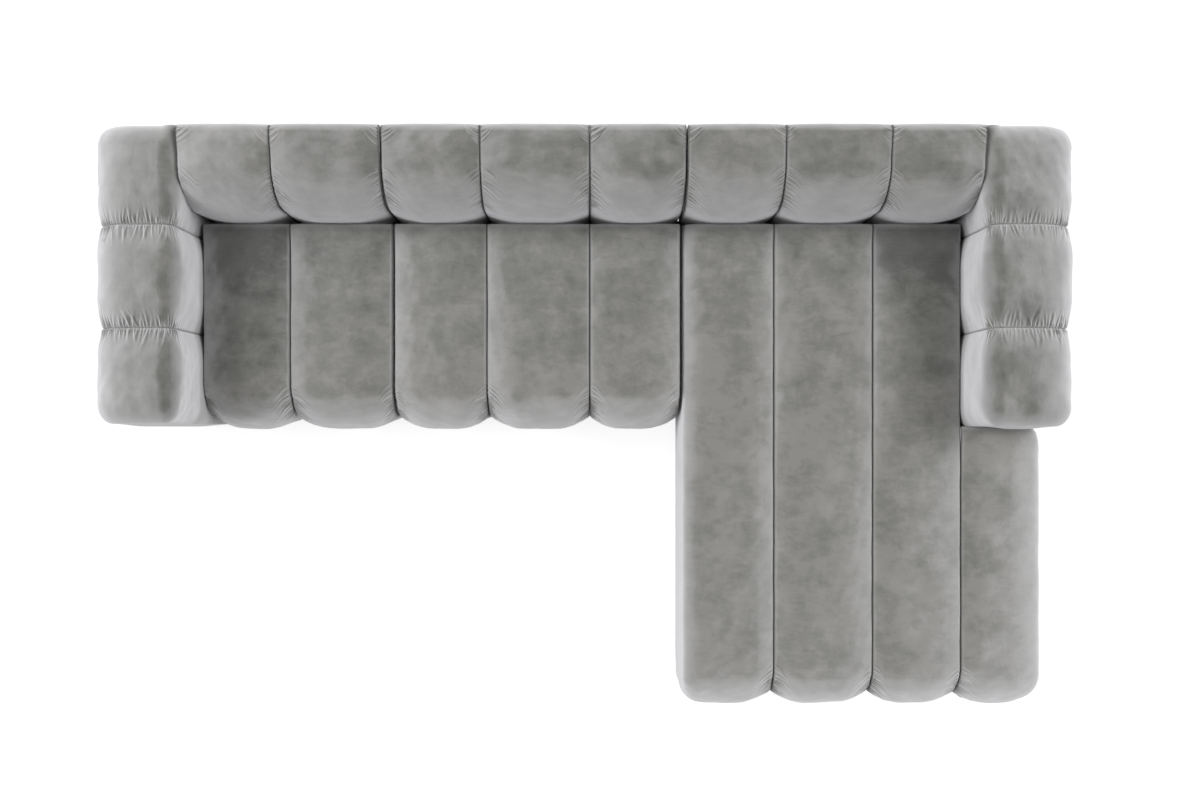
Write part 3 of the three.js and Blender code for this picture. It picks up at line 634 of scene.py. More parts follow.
@dataclass
class Channel:
    """One padded channel: an outline, a span of width and the way that both ends are finished.

    Attributes:
        node, body: the frame's node that it stands for, and the body it moves with.
        along, span: the axis of its width, and where that starts and finishes.
        ends: the finish at the start and at the finish of its width.
        pull, edge_pull: (rows,) share of a seam's depth, and of a free edge's drop, that each row takes.
        room: (rows,) share of the relief that each row has room for.
        front: (rows,) how far each row's seams are drawn in as on the front face, from 0 to 1.
        deep: (rows,) how deep each row lies in the fold against the next cushion, from 0 to 1, which sets the
            painted shade there.
        seed: number that its random relief starts from.
        upright_to: distance along the outline up to which seams and edges pull straight down.
        heel: how far the finish of the width is drawn in at the outline's start, and over what depth.
        bulge_from: heights between which a free end's face starts to bulge.
        spacing, sharp: how closely its width is sampled, and the angle from which an edge is sharp.
    """

    node: str
    body: str
    along: Along
    span: Pair
    ends: tuple[ChannelEnd, ChannelEnd]
    outline: Outline
    closing: Closing
    drawing: Drawing
    gather: Gather
    pull: Array
    edge_pull: Array
    room: Array
    front: Array
    deep: Array
    seed: int
    pile: PileAndPaintedLight
    upright_to: float = 0.0
    heel: Pair = (0.0, 0.0)
    bulge_from: Pair = (-0.02, -0.01)
    fill: float = 0.85
    swells: tuple[Swell, ...] = (Swell(0.0012, 0.19), Swell(0.0004, 0.06))
    spacing: ColumnSpacing = ColumnSpacing()
    sharp: float = 62.0

    @property
    def wall_places(self) -> Pair:
        """Places across the channel of the inner faces of its walls, or of its ends where it has none."""
        return self.span[0] + self.closing.start_wall, self.span[1] - self.closing.finish_wall

    def columns(self) -> Array:
        """Places across the channel, with one on each wall's inner face."""
        start, finish = self.span
        low, high = (self.spacing.distances((finish - start) / 2, end) for end in self.ends)
        places = np.concatenate([start + low, (finish - high)[::-1][1:]])
        for place in self.wall_places:
            nearest = int(np.argmin(np.abs(places - place)))
            if nearest not in (0, len(places) - 1):
                places[nearest] = place
        return places

    def skin(self, travel: Array, places: Array, relief_share: float = 1.0) -> Array:
        """The outer surface.

        A point lies on the outline, moved inwards by each seam's depth beside it, and by a parabola that
        crowns the middle. Folds and slow swells are added along the outward direction.

        Args:
            travel: (rows,) the rows' distances along the outline.
            places: (columns,) the columns' places across the channel.
            relief_share: how much of the relief is added.

        Returns:
            (rows, columns, 3) vertices.
        """
        start, finish = self.span
        points, outward = self.outline.at(travel)
        outward[travel < self.upright_to] = (0, 1)
        shares = (self.pull, self.edge_pull, self.room, self.front)
        pull, edge_pull, room, front = (np.interp(travel, self.outline.rows, s)[:, None] for s in shares)
        chance = np.random.default_rng(self.seed)
        relief = sum(swell.relief(places - start, travel, chance) for swell in self.swells)
        parabola = ((places - (start + finish) / 2) / (finish - start) * 2) ** 2
        drop = self.drawing.crown * parabola[None, :] * pull
        for end, distance in zip(self.ends, (places - start, finish - places)):
            if end.finish is Finish.EDGE:
                drop = drop + end.drop * quarter_drop(distance, end.width)[None, :] * edge_pull
                continue
            drop = drop + self.drawing.drop(distance[None, :], front) * pull
            for gathering in self.outline.gatherings:
                relief += self.gather.relief(travel, distance, gathering, chance)
        inward = drop - relief * room * relief_share
        flat = points[:, None, :] - outward[:, None, :] * inward[:, :, None]
        return self.placed(np.broadcast_to(places[None, :], flat.shape[:2]), flat)

    def coarse_grid(self, spacing: float) -> tuple[Array, Array]:
        """Evenly spaced rows and columns over the whole skin, by their distances and places."""
        ranges = ((0, float(self.outline.rows[-1])), self.span)
        rows, columns = (np.linspace(low, high, round((high - low) / spacing) + 1) for low, high in ranges)
        return rows, columns

    def placed(self, across: Array, flat: Array) -> Array:
        """Turns places across the channel and section points into points in space."""
        points = np.stack([across, flat[..., 0], flat[..., 1]], axis=-1)
        return points if self.along is Along.X else points[..., [1, 0, 2]]

    def heel_drawn(self, vertices: Array) -> Array:
        """Draws the finish of the width in at the channel's heel.

        The wall past the hollow narrows evenly, and its outer side follows a quarter of an ellipse in plan.

        Args:
            vertices: (vertices, 3) the mesh.

        Returns:
            The moved vertices.
        """
        amount, depth = self.heel
        if not amount:
            return vertices
        wall = self.closing.finish_wall
        share = np.clip((vertices[:, 0] - self.span[1] + wall) / wall, 0, 1)
        behind = np.clip(vertices[:, 1] - (self.outline.points[:, 0].max() - depth), 0, depth) / depth
        moved = vertices.copy()
        moved[:, 0] -= amount * (1 - np.sqrt(1 - behind**2)) * share
        return moved

    def end_face(
        self, ring: list[int], vertices: list[tuple[float, ...]], end: ChannelEnd, outwards: int
    ) -> list[tuple[int, ...]]:
        """Closes a free end with a soft face: a grid inside the ring, raised towards the ring's middle.

        The rise is the bulge times the cubic 3t^2 - 2t^3 of the distance from the ring.

        Args:
            ring: the end's corners in order.
            vertices: the mesh so far, which the new points join.
            end: the end.
            outwards: 1 where the face looks along the width's axis, and -1 where it looks back.

        Returns:
            The faces.
        """
        across, level = self.along.value, 1 - self.along.value
        corners = np.array([vertices[i] for i in ring])
        flat = corners[:, [level, 2]]
        low, high = flat.min(axis=0), flat.max(axis=0)
        u, v = np.meshgrid(*(np.arange(low[k], high[k], end.face_grid) for k in (0, 1)))
        grid = np.stack([u.ravel(), v.ravel()], axis=1)
        distance = np.where(inside(grid, flat), ring_distance(grid, flat), 0)
        grid, distance = grid[distance > end.face_edge], distance[distance > end.face_edge]
        rise = end.bulge * fade(distance, 0, end.face_rise) * fade(grid[:, 1], *self.bulge_from)
        index = list(ring) + list(range(len(vertices), len(vertices) + len(grid)))
        vertices += [tuple(point) for point in self.placed(corners[0, across] + outwards * rise, grid)]
        sides = [(i, (i + 1) % len(ring)) for i in range(len(ring))]
        made = delaunay_2d_cdt([Vector(p) for p in np.concatenate([flat, grid])], sides, [], 1, NO_LENGTH)
        numbers = np.array([index[came_from[0]] for came_from in made[3]])
        faces = numbers[np.array(made[2])]
        places = np.array(vertices)[faces]
        facing = np.cross(places[:, 1] - places[:, 0], places[:, 2] - places[:, 0])[:, across].sum()
        return [tuple(face) for face in (faces if facing * outwards > 0 else faces[:, ::-1]).tolist()]

    def build(self, settling: "Settling") -> bpy.types.Object:
        """Makes the channel's closed mesh, its fabric coordinates and its object.

        Args:
            settling: how the cover settled over its filling.

        Returns:
            The object.
        """
        places = self.columns()
        skin = self.skin(self.outline.rows, places) + settling.moved(self, places)
        rows, columns = skin.shape[:2]
        grid = np.arange(rows * columns).reshape(rows, columns)
        vertices = [tuple(v) for v in skin.reshape(-1, 3)]
        hollow, walled = self.closing.hollow, self.closing.walled
        made: dict[tuple[int, float, float], int] = {}

        def chain(column: int, points: list[Pair]) -> list[int]:
            """Numbers of the vertices at section points in one column, each made once."""
            for u, v in points:
                key = (column, round(u, 6), round(v, 6))
                if key not in made:
                    made[key] = len(vertices)
                    vertices.append(tuple(self.placed(places[column], np.array((u, v)))))
            return [made[column, round(u, 6), round(v, 6)] for u, v in points]

        def rim(column: int, points: list[Pair]) -> list[int]:
            """The hidden side of one column, with the outline's own ends."""
            return [int(grid[-1, column]), *chain(column, points), int(grid[0, column])]

        faces = [tuple(face) for face in grid_faces(grid)]
        skinned = len(faces)
        first, last = (int(np.argmin(np.abs(places - place))) for place in self.wall_places)
        for column in range(columns - 1):
            points = hollow if first <= column < last else walled
            near, far = (rim(number, points) for number in (column, column + 1))
            faces += [(a, b, d, c) for a, b, c, d in zip(near, near[1:], far, far[1:])]
        stripped = len(faces)
        for column, looks_on in ((first, True), (last, False)):
            if 0 < column < columns - 1:
                ring = chain(column, hollow)
                loop = ring + [index for index in chain(column, walled[::-1]) if index not in ring]
                faces.append(tuple(loop[::-1] if looks_on else loop))
        if self.along is Along.Y:
            faces = [face[::-1] for face in faces]
        ends = ((0, first > 0, -1), (columns - 1, last < columns - 1, 1))
        for end, (column, closed, outwards) in zip(self.ends, ends):
            cap = grid[:, column].tolist() + chain(column, walled if closed else hollow)
            if end.finish is Finish.EDGE:
                faces += self.end_face(cap, vertices, end, outwards)
            else:
                clockwise = (outwards < 0) == (self.along is Along.X)
                faces.append(tuple(cap if clockwise else cap[::-1]))
        piece = new_object(f"{self.node}_cover", self.heel_drawn(np.array(vertices)), faces)
        piece.data.validate()
        shade_smooth(piece.data, self.sharp)
        self.write_cloth(piece.data, places, skinned, stripped)
        self.write_painted_light(piece.data, columns, stripped)
        return piece

    def write_painted_light(self, mesh: Mesh, columns: int, stripped: int) -> None:
        """Writes the painted shade of each corner in creases and folds, the pile's lean that steers the
        painted sheen, and the painted light and shade at each point.

        The crease's painted shade is the bell curve of the distance from the nearer sewn end. The flat ends
        get none.

        Args:
            mesh: the channel's mesh.
            columns: number of columns in its skin.
            stripped: number of four-cornered faces that come before the ends.
        """
        vertices = read_places(mesh)
        across = vertices[:, self.along.value]
        deep = np.zeros(len(across))
        # Painted shade along each sewn crease, then in the fold against the next cushion.
        for end, place in zip(self.ends, self.span):
            if end.finish is Finish.SEWN:
                widths = (across - place) / self.drawing.crease * self.drawing.crease_edge
                deep = np.maximum(deep, np.exp(-(widths**2)) * self.drawing.crease_shade)
        skin = len(self.outline.rows) * columns
        deep[:skin] = np.maximum(deep[:skin], np.repeat(self.deep, columns) * self.drawing.fold_shade)
        deep = deep[read_loops(mesh)]
        deep[4 * stripped :] = 0
        write_values(mesh, "seam", "CORNER", deep)
        # The lean steers the painted sheen; the last attribute holds painted light and shade with the cover's
        # tone.
        write_values(mesh, "nap", "POINT", self.pile.leans(vertices, np.random.default_rng(self.seed + 7)))
        write_values(mesh, "tone_and_painted_light", "POINT", self.pile.shades(vertices))

    def write_cloth(self, mesh: Mesh, places: Array, skinned: int, stripped: int) -> None:
        """Writes a UV map in metres of cloth.

        The skin's first direction is across the channel and its second along the outline. The strips under
        and behind it take the sum of the level direction and the height as their second, and the ends take
        those two as their own.

        Args:
            mesh: the channel's mesh.
            places: the columns' places.
            skinned: number of faces of the skin, which come first and have four corners each.
            stripped: number of faces up to the last strip, with four corners each too.
        """
        loops = read_loops(mesh)
        corners = read_places(mesh)[loops]
        across, level = self.along.value, 1 - self.along.value
        cloth = corners[:, [level, 2]]
        strips = corners[: 4 * stripped]
        cloth[: 4 * stripped] = np.stack([strips[:, across], strips[:, level] + strips[:, 2]], axis=1)
        skin = np.stack([part.ravel() for part in np.meshgrid(places, self.outline.rows)], axis=1)
        cloth[: 4 * skinned] = skin[loops[: 4 * skinned]]
        mesh.uv_layers.new(name="cloth").data.foreach_set("uv", cloth.ravel())


@dataclass(frozen=True)
class ClothRecipe:
    """How the covers are simulated.

    Attributes:
        stiffness, shear_share, bending: stiffness against stretching, its share against shearing, and
            stiffness against bending.
        damping, quality, frames: the air's damping, steps in a frame, and frames that it settles for.
        spare: share by which the cloth is larger than the shape it lies on.
        most: the furthest that a point may move.
        calming: how many times the movement is averaged with its neighbours.
        held_edge, held_end, run_in: lengths over which it comes free from the sewn edges, from the
            outline's end and past the fold against the next cushion.
    """

    spacing: float = 0.0145
    pressure: float = 4.0
    stiffness: float = 60.0
    shear_share: float = 0.25
    bending: float = 0.3
    mass: float = 0.25
    damping: float = 4.0
    quality: int = 4
    spare: float = 0.0012
    frames: int = 18
    most: float = 0.0050
    calming: int = 3
    held_edge: float = 0.120
    held_end: float = 0.10
    run_in: float = 0.22


class Settling:
    """Settles every cover over its filling by cloth simulation, before the covers' own meshes are made.

    Attributes:
        recipe: how the cloth is simulated.
        moves: by node, the coarse rows and columns, and how far each coarse point moved.
    """

    def __init__(self, recipe: ClothRecipe = ClothRecipe()) -> None:
        """Starts with no moves."""
        self.recipe = recipe
        self.moves: dict[str, tuple[Array, Array, Array]] = {}

    def hang(self, channel: Channel) -> tuple[bpy.types.Object, Array]:
        """A coarse cloth over a channel, held along its edges and pressed out by the filling.

        Args:
            channel: the channel.

        Returns:
            The cloth and its vertices.
        """
        recipe = self.recipe
        rows, columns = channel.coarse_grid(recipe.spacing)
        points = channel.skin(rows, columns, 0.0).reshape(-1, 3)
        grid = np.arange(len(points)).reshape(len(rows), len(columns))
        faces = grid_faces(grid) if channel.along is Along.X else grid_faces(grid)[:, ::-1]
        cloth = new_object(f"{channel.node}_cloth", points, faces.tolist())
        border = np.ones(grid.shape, bool)
        border[1:-1, 1:-1] = False
        held = cloth.vertex_groups.new(name="held")
        held.add(grid[border].tolist(), 1.0, "REPLACE")
        modifier = cloth.modifiers.new("cloth", "CLOTH")
        settings = {
            "quality": recipe.quality,
            "mass": recipe.mass,
            "tension_stiffness": recipe.stiffness,
            "compression_stiffness": recipe.stiffness,
            "shear_stiffness": recipe.stiffness * recipe.shear_share,
            "bending_stiffness": recipe.bending,
            "air_damping": recipe.damping,
            "use_pressure": True,
            "uniform_pressure_force": recipe.pressure,
            "shrink_min": -recipe.spare,
            "vertex_group_mass": held.name,
            "pin_stiffness": 1.0,
        }
        for name, value in settings.items():
            setattr(modifier.settings, name, value)
        modifier.settings.effector_weights.gravity = 0
        modifier.point_cache.frame_start = 1
        modifier.point_cache.frame_end = recipe.frames
        return cloth, points

    def run(self, channels: list[Channel]) -> None:
        """Simulates all covers together, keeps how far their points moved, and removes the cloths.

        Args:
            channels: every channel.
        """
        recipe = self.recipe
        hung = [(channel, *self.hang(channel)) for channel in channels]
        scene = bpy.context.scene
        for number in range(1, recipe.frames + 1):
            scene.frame_set(number)
        graph = bpy.context.evaluated_depsgraph_get()
        for channel, cloth, points in hung:
            move = read_places(cloth.evaluated_get(graph).data) - points
            length = np.linalg.norm(move, axis=1, keepdims=True)
            most, middle = 1000 * float(length.max()), 1000 * float(np.median(length))
            log.info("%s: cover settled by %.1f mm at most and %.1f mm typically", channel.node, most, middle)
            move *= recipe.most * np.tanh(length / recipe.most) / np.maximum(length, 1e-9)
            rows, columns = channel.coarse_grid(recipe.spacing)
            move = self.calmed(move.reshape(len(rows), len(columns), 3))
            share = self.share(channel, rows, columns)[..., None]
            self.moves[channel.node] = (rows, columns, move * share)
        for _, cloth, _ in hung:
            mesh = cloth.data
            bpy.data.objects.remove(cloth)
            bpy.data.meshes.remove(mesh)
        scene.frame_set(1)

    def calmed(self, move: Array) -> Array:
        """Takes the shortest waves out of a movement, by the mean (1, 2, 1) / 4 of neighbours both ways.

        Args:
            move: (rows, columns, 3) moves.

        Returns:
            An array of the same shape.
        """
        for axis in (0, 1) * self.recipe.calming:
            lined = np.moveaxis(move, axis, 0)
            wider = np.concatenate([lined[:1], lined, lined[-1:]])
            move = np.moveaxis((wider[:-2] + 2 * wider[1:-1] + wider[2:]) / 4, 0, axis)
        return move

    def share(self, channel: Channel, rows: Array, columns: Array) -> Array:
        """Share of its movement that each coarse point keeps: little near the seams and beside a neighbour.

        It is the product of four rises: from either end of the width, from the end of the outline, and from
        the fold against the next cushion.

        Args:
            channel: the channel.
            rows: the coarse rows.
            columns: the coarse columns.

        Returns:
            (rows, columns) shares.
        """
        edge = np.minimum(columns - channel.span[0], channel.span[1] - columns)
        first = channel.outline.rows[int(np.argmax(channel.room > 0))]
        along = fade(rows[-1] - rows, 0, self.recipe.held_end) * fade(rows - first, 0, self.recipe.run_in)
        along *= np.interp(rows, channel.outline.rows, channel.room)
        return along[:, None] * fade(edge, 0, self.recipe.held_edge)[None, :]

    def moved(self, channel: Channel, places: Array) -> Array:
        """How far each point of a channel's skin moves, carried over from the coarse points by cubics.

        Args:
            channel: the channel.
            places: the columns' places.

        Returns:
            (rows, columns, 3) moves, all 0 where nothing was simulated.
        """
        rows = channel.outline.rows
        if channel.node not in self.moves:
            return np.zeros((len(rows), len(places), 3))
        coarse_rows, coarse_columns, moves = self.moves[channel.node]
        along, across = cubic_weights(rows, coarse_rows), cubic_weights(places, coarse_columns)
        return np.einsum("ri,ijk,cj->rck", along, moves, across, optimize=True)


@dataclass(frozen=True)
class Section:
    """One section of the sofa, with the clear spaces that its frames take up, read from the frame.

    Attributes:
        name: first word of its nodes.
    """

    name: str

    @property
    def body(self) -> str:
        """Name of the section's body."""
        return f"{self.name}_section"

    @property
    def foot_level(self) -> float:
        """Level on which the back and arm padding stands: the top of the base frame."""
        return self.box("base_frame")[1].z + CLEARANCE

    def box(self, part: str) -> tuple[Vector, Vector]:
        """Lowest and highest corner of one of its nodes."""
        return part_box(f"{self.name}_{part}")

    def seed(self, first: int, number: int) -> int:
        """Number that one channel's random relief starts from."""
        return first + 10 * ord(self.name[0]) + number

    def walls(self, start: float, finish: float, part: str) -> Pair:
        """Thickness of padding past a frame's own ends in a span along X, 0 where the frame runs on."""
        low, high = self.box(part)
        return max(low.x - CLEARANCE - start, 0.0), max(finish - high.x - CLEARANCE, 0.0)


@dataclass(frozen=True)
class SeatPadding:
    """The seat channels of a section: flat on top, rolled over the front and down to the floor gap.

    Attributes:
        leans, front_leans: how far each channel's pile leans towards +X, on top and out in front, which tilts
            the painted sheen.
        wall_channel, wall: number of the channel beside an arm, or 0, and the painted shade that the arm lays
            on it.
        outer_heel: how far the last channel is drawn in at its outer heel, and over what depth.
        free_start, free_finish: finish of the first and of the last channel's open side.
        tuck, tuck_height, tuck_round: how far the foot lies behind the front, and the height and the
            length of the turn towards it.
        tuck_levels, tuck_ease: depths between which the seams are drawn in less there, and the share.
        heel_share, heel_reach: share of a seam's depth past that edge, and the length over which it grows.
        relief_reach: length past the heel over which the relief rises.
        fold: lengths from the heel between which painted shade lies in the fold against the back.
        foot_share, foot_reach: share of a free edge's drop at the foot, and the height over which it grows.
        front_from, front_to: how far behind the front the seams turn to being drawn in as on the front.
        gathered_from, gathered_to: how far behind the front and how far under the top the folds lie.
    """

    section: Section
    count: int
    leans: tuple[float, ...]
    front_leans: tuple[float, ...] = ()
    pile: PileAndPaintedLight = PileAndPaintedLight()
    wall_channel: int = 0
    wall: tuple[float, float, float] | None = None
    outer_heel: Pair = (0.0, 0.0)
    free_start: ChannelEnd = SEWN
    free_finish: ChannelEnd = SEWN
    drawing: Drawing = Drawing()
    gather: Gather = Gather()
    front_reach: float = 0.120
    front_fall: float = 0.190
    tuck: float = 0.024
    tuck_height: float = 0.180
    tuck_round: float = 0.090
    tuck_levels: Pair = (-0.25, -0.20)
    tuck_ease: float = 0.45
    heel_round: float = 0.016
    heel_share: float = 0.55
    heel_reach: float = 0.090
    relief_reach: float = 0.120
    fold: Pair = (-0.004, 0.030)
    foot_share: float = 0.8
    foot_reach: float = 0.150
    front_from: float = 0.165
    front_to: float = 0.085
    gathered_from: float = 0.165
    gathered_to: float = 0.150
    lean: float = 0.85
    first_seed: int = 100

    def channel(self, number: int) -> Channel:
        """One channel, from the frame's boxes.

        Args:
            number: its number from the left.

        Returns:
            The channel, not yet built.
        """
        low, high = self.section.box(f"seat_channel_{number}")
        underside = self.section.box("seat_webbing")[1].z + CLEARANCE
        inner_front = self.section.box("base_frame")[0].y - CLEARANCE
        outline = Outline(
            [
                Corner(high.y, underside),
                Corner(high.y, high.z, self.heel_round, self.heel_round),
                Corner(low.y, high.z, self.front_reach, self.front_fall),
                Corner(low.y, low.z + self.tuck_height, 0.0, self.tuck_round),
                Corner(low.y + self.tuck, low.z),
            ],
            [Gathering((low.y + self.gathered_from, high.z), (low.y, high.z - self.gathered_to), self.lean)],
        )
        last = number == self.count
        ends = (self.free_start if number == 1 else SEWN, self.free_finish if last else SEWN)
        span = (low.x + ends[0].inset, high.x - ends[1].inset)
        rows = outline.rows
        points, _ = outline.at(rows)
        heel = high.z - underside
        front = heel + (high.y - low.y)
        past_heel = rows >= heel
        heel_pull = np.where(past_heel, 1.0, (points[:, 1] - underside) / heel)
        grown = self.heel_share + (1 - self.heel_share) * fade(rows, heel, heel + self.heel_reach)
        tucked = fade(points[:, 0], low.y, low.y + self.tuck) * fade(-points[:, 1], *self.tuck_levels)
        over_foot = fade(points[:, 1], low.z, low.z + self.foot_reach)
        foot_pull = self.foot_share + (1 - self.foot_share) * over_foot
        leans = [(leans[number - 1], 0.0) if leans else None for leans in (self.leans, self.front_leans)]
        wall = self.wall if self.wall_channel == number else None
        return Channel(
            node=f"{self.section.name}_seat_channel_{number}",
            body=self.section.body,
            along=Along.X,
            span=span,
            ends=ends,
            outline=outline,
            closing=Closing(
                [(inner_front, low.z), (inner_front, underside)],
                [(inner_front, low.z), (high.y, low.z)],
                *self.section.walls(*span, "base_frame"),
            ),
            drawing=self.drawing,
            gather=self.gather,
            pull=heel_pull * grown * (1 - self.tuck_ease * tucked),
            edge_pull=heel_pull * np.where(past_heel, foot_pull, 1.0),
            room=fade(rows, heel, heel + self.relief_reach),
            front=fade(rows, front - self.front_from, front - self.front_to),
            deep=1 - fade(rows, heel + self.fold[0], heel + self.fold[1]),
            seed=self.section.seed(self.first_seed, number),
            pile=replace(self.pile, lean=leans[0], front_lean=leans[1], wall=wall),
            upright_to=heel,
            heel=self.outer_heel if last else (0.0, 0.0),
        )


@dataclass(frozen=True)
class BackPadding:
    """The back channels of a section: flat behind, and rolled deeply over the top down to the seat.

    Attributes:
        least_wall: thickness under which padding past the frame's end is no wall.
        room_levels: heights over the seat between which the relief rises.
        rear_room, rear_turn: share of the relief that goes at the rear top edge, and of its radius by where.
        facing: shares of the outward direction between which a row counts as the front face.
        fold: heights over the seat between which painted shade lies in the fold against it.
        rear_gathered, rear_lean: how far under the top and how far in the rear folds lie, and their lean.
        front_gathered, front_lean: how far in and how far under the top the front ones do, and theirs.
    """

    section: Section
    count: int
    rear_round: float = 0.030
    front_reach: float = 0.160
    front_fall: float = 0.215
    rear_pull_share: float = 0.16
    least_wall: float = 0.002
    room_levels: Pair = (-0.01, 0.06)
    rear_room: float = 0.9
    rear_turn: float = 0.2
    facing: Pair = (0.05, 0.8)
    fold: Pair = (-0.015, 0.045)
    drawing: Drawing = Drawing(depth=(0.026, 0.030), shoulder=(0.100, 0.125), crease_share=(0.40, 0.25))
    gather: Gather = Gather(pitch=0.019, height=0.0052, length=0.038)
    rear_gathered: Pair = (0.045, 0.075)
    rear_lean: float = -0.8
    front_gathered: Pair = (0.150, 0.150)
    front_lean: float = 0.7
    pile: PileAndPaintedLight = PileAndPaintedLight(lean=(-0.15, -0.07))
    first_seed: int = 500

    def channel(self, number: int) -> Channel:
        """One channel, from the frame's boxes.

        Args:
            number: its number from the left.

        Returns:
            The channel, not yet built.
        """
        low, high = self.section.box(f"back_channel_{number}")
        frame_low, frame_high = self.section.box("back_frame")
        inner_front, inner_rear = frame_low.y - CLEARANCE, frame_high.y + CLEARANCE
        inner_top = frame_high.z + CLEARANCE
        foot = self.section.foot_level
        seat_top = self.section.box(f"seat_channel_{number}")[1].z
        rear, front = self.rear_gathered, self.front_gathered
        outline = Outline(
            [
                Corner(high.y, low.z),
                Corner(high.y, high.z, self.rear_round, self.rear_round),
                Corner(low.y, high.z, self.front_reach, self.front_fall),
                Corner(low.y, foot),
            ],
            [
                Gathering((high.y, high.z - rear[0]), (high.y - rear[1], high.z), self.rear_lean),
                Gathering((low.y + front[0], high.z), (low.y, high.z - front[1]), self.front_lean),
            ],
        )
        points, outward = outline.at(outline.rows)
        half_depth = (high.y - low.y) / 2
        behind = (points[:, 0] - (high.y - half_depth)) / half_depth
        pull = 1 - (1 - self.rear_pull_share) * fade(behind, 0.0, 1.0)
        over_seat = points[:, 1] - seat_top
        edge = fade(points[:, 0], high.y - self.rear_round, high.y - self.rear_turn * self.rear_round)
        walls = self.section.walls(low.x, high.x, "back_frame")
        return Channel(
            node=f"{self.section.name}_back_channel_{number}",
            body=self.section.body,
            along=Along.X,
            span=(low.x, high.x),
            ends=(SEWN, SEWN),
            outline=outline,
            closing=Closing(
                [(inner_front, foot), (inner_front, inner_top), (inner_rear, inner_top), (inner_rear, low.z)],
                [(inner_front, foot), (inner_rear, foot), (inner_rear, low.z)],
                *(wall if wall > self.least_wall else 0.0 for wall in walls),
            ),
            drawing=self.drawing,
            gather=self.gather,
            pull=pull,
            edge_pull=pull,
            room=np.minimum(fade(over_seat, *self.room_levels), 1 - self.rear_room * edge),
            front=fade(-outward[:, 0], *self.facing),
            deep=1 - fade(over_seat, *self.fold),
            seed=self.section.seed(self.first_seed, number),
            pile=self.pile,
        )


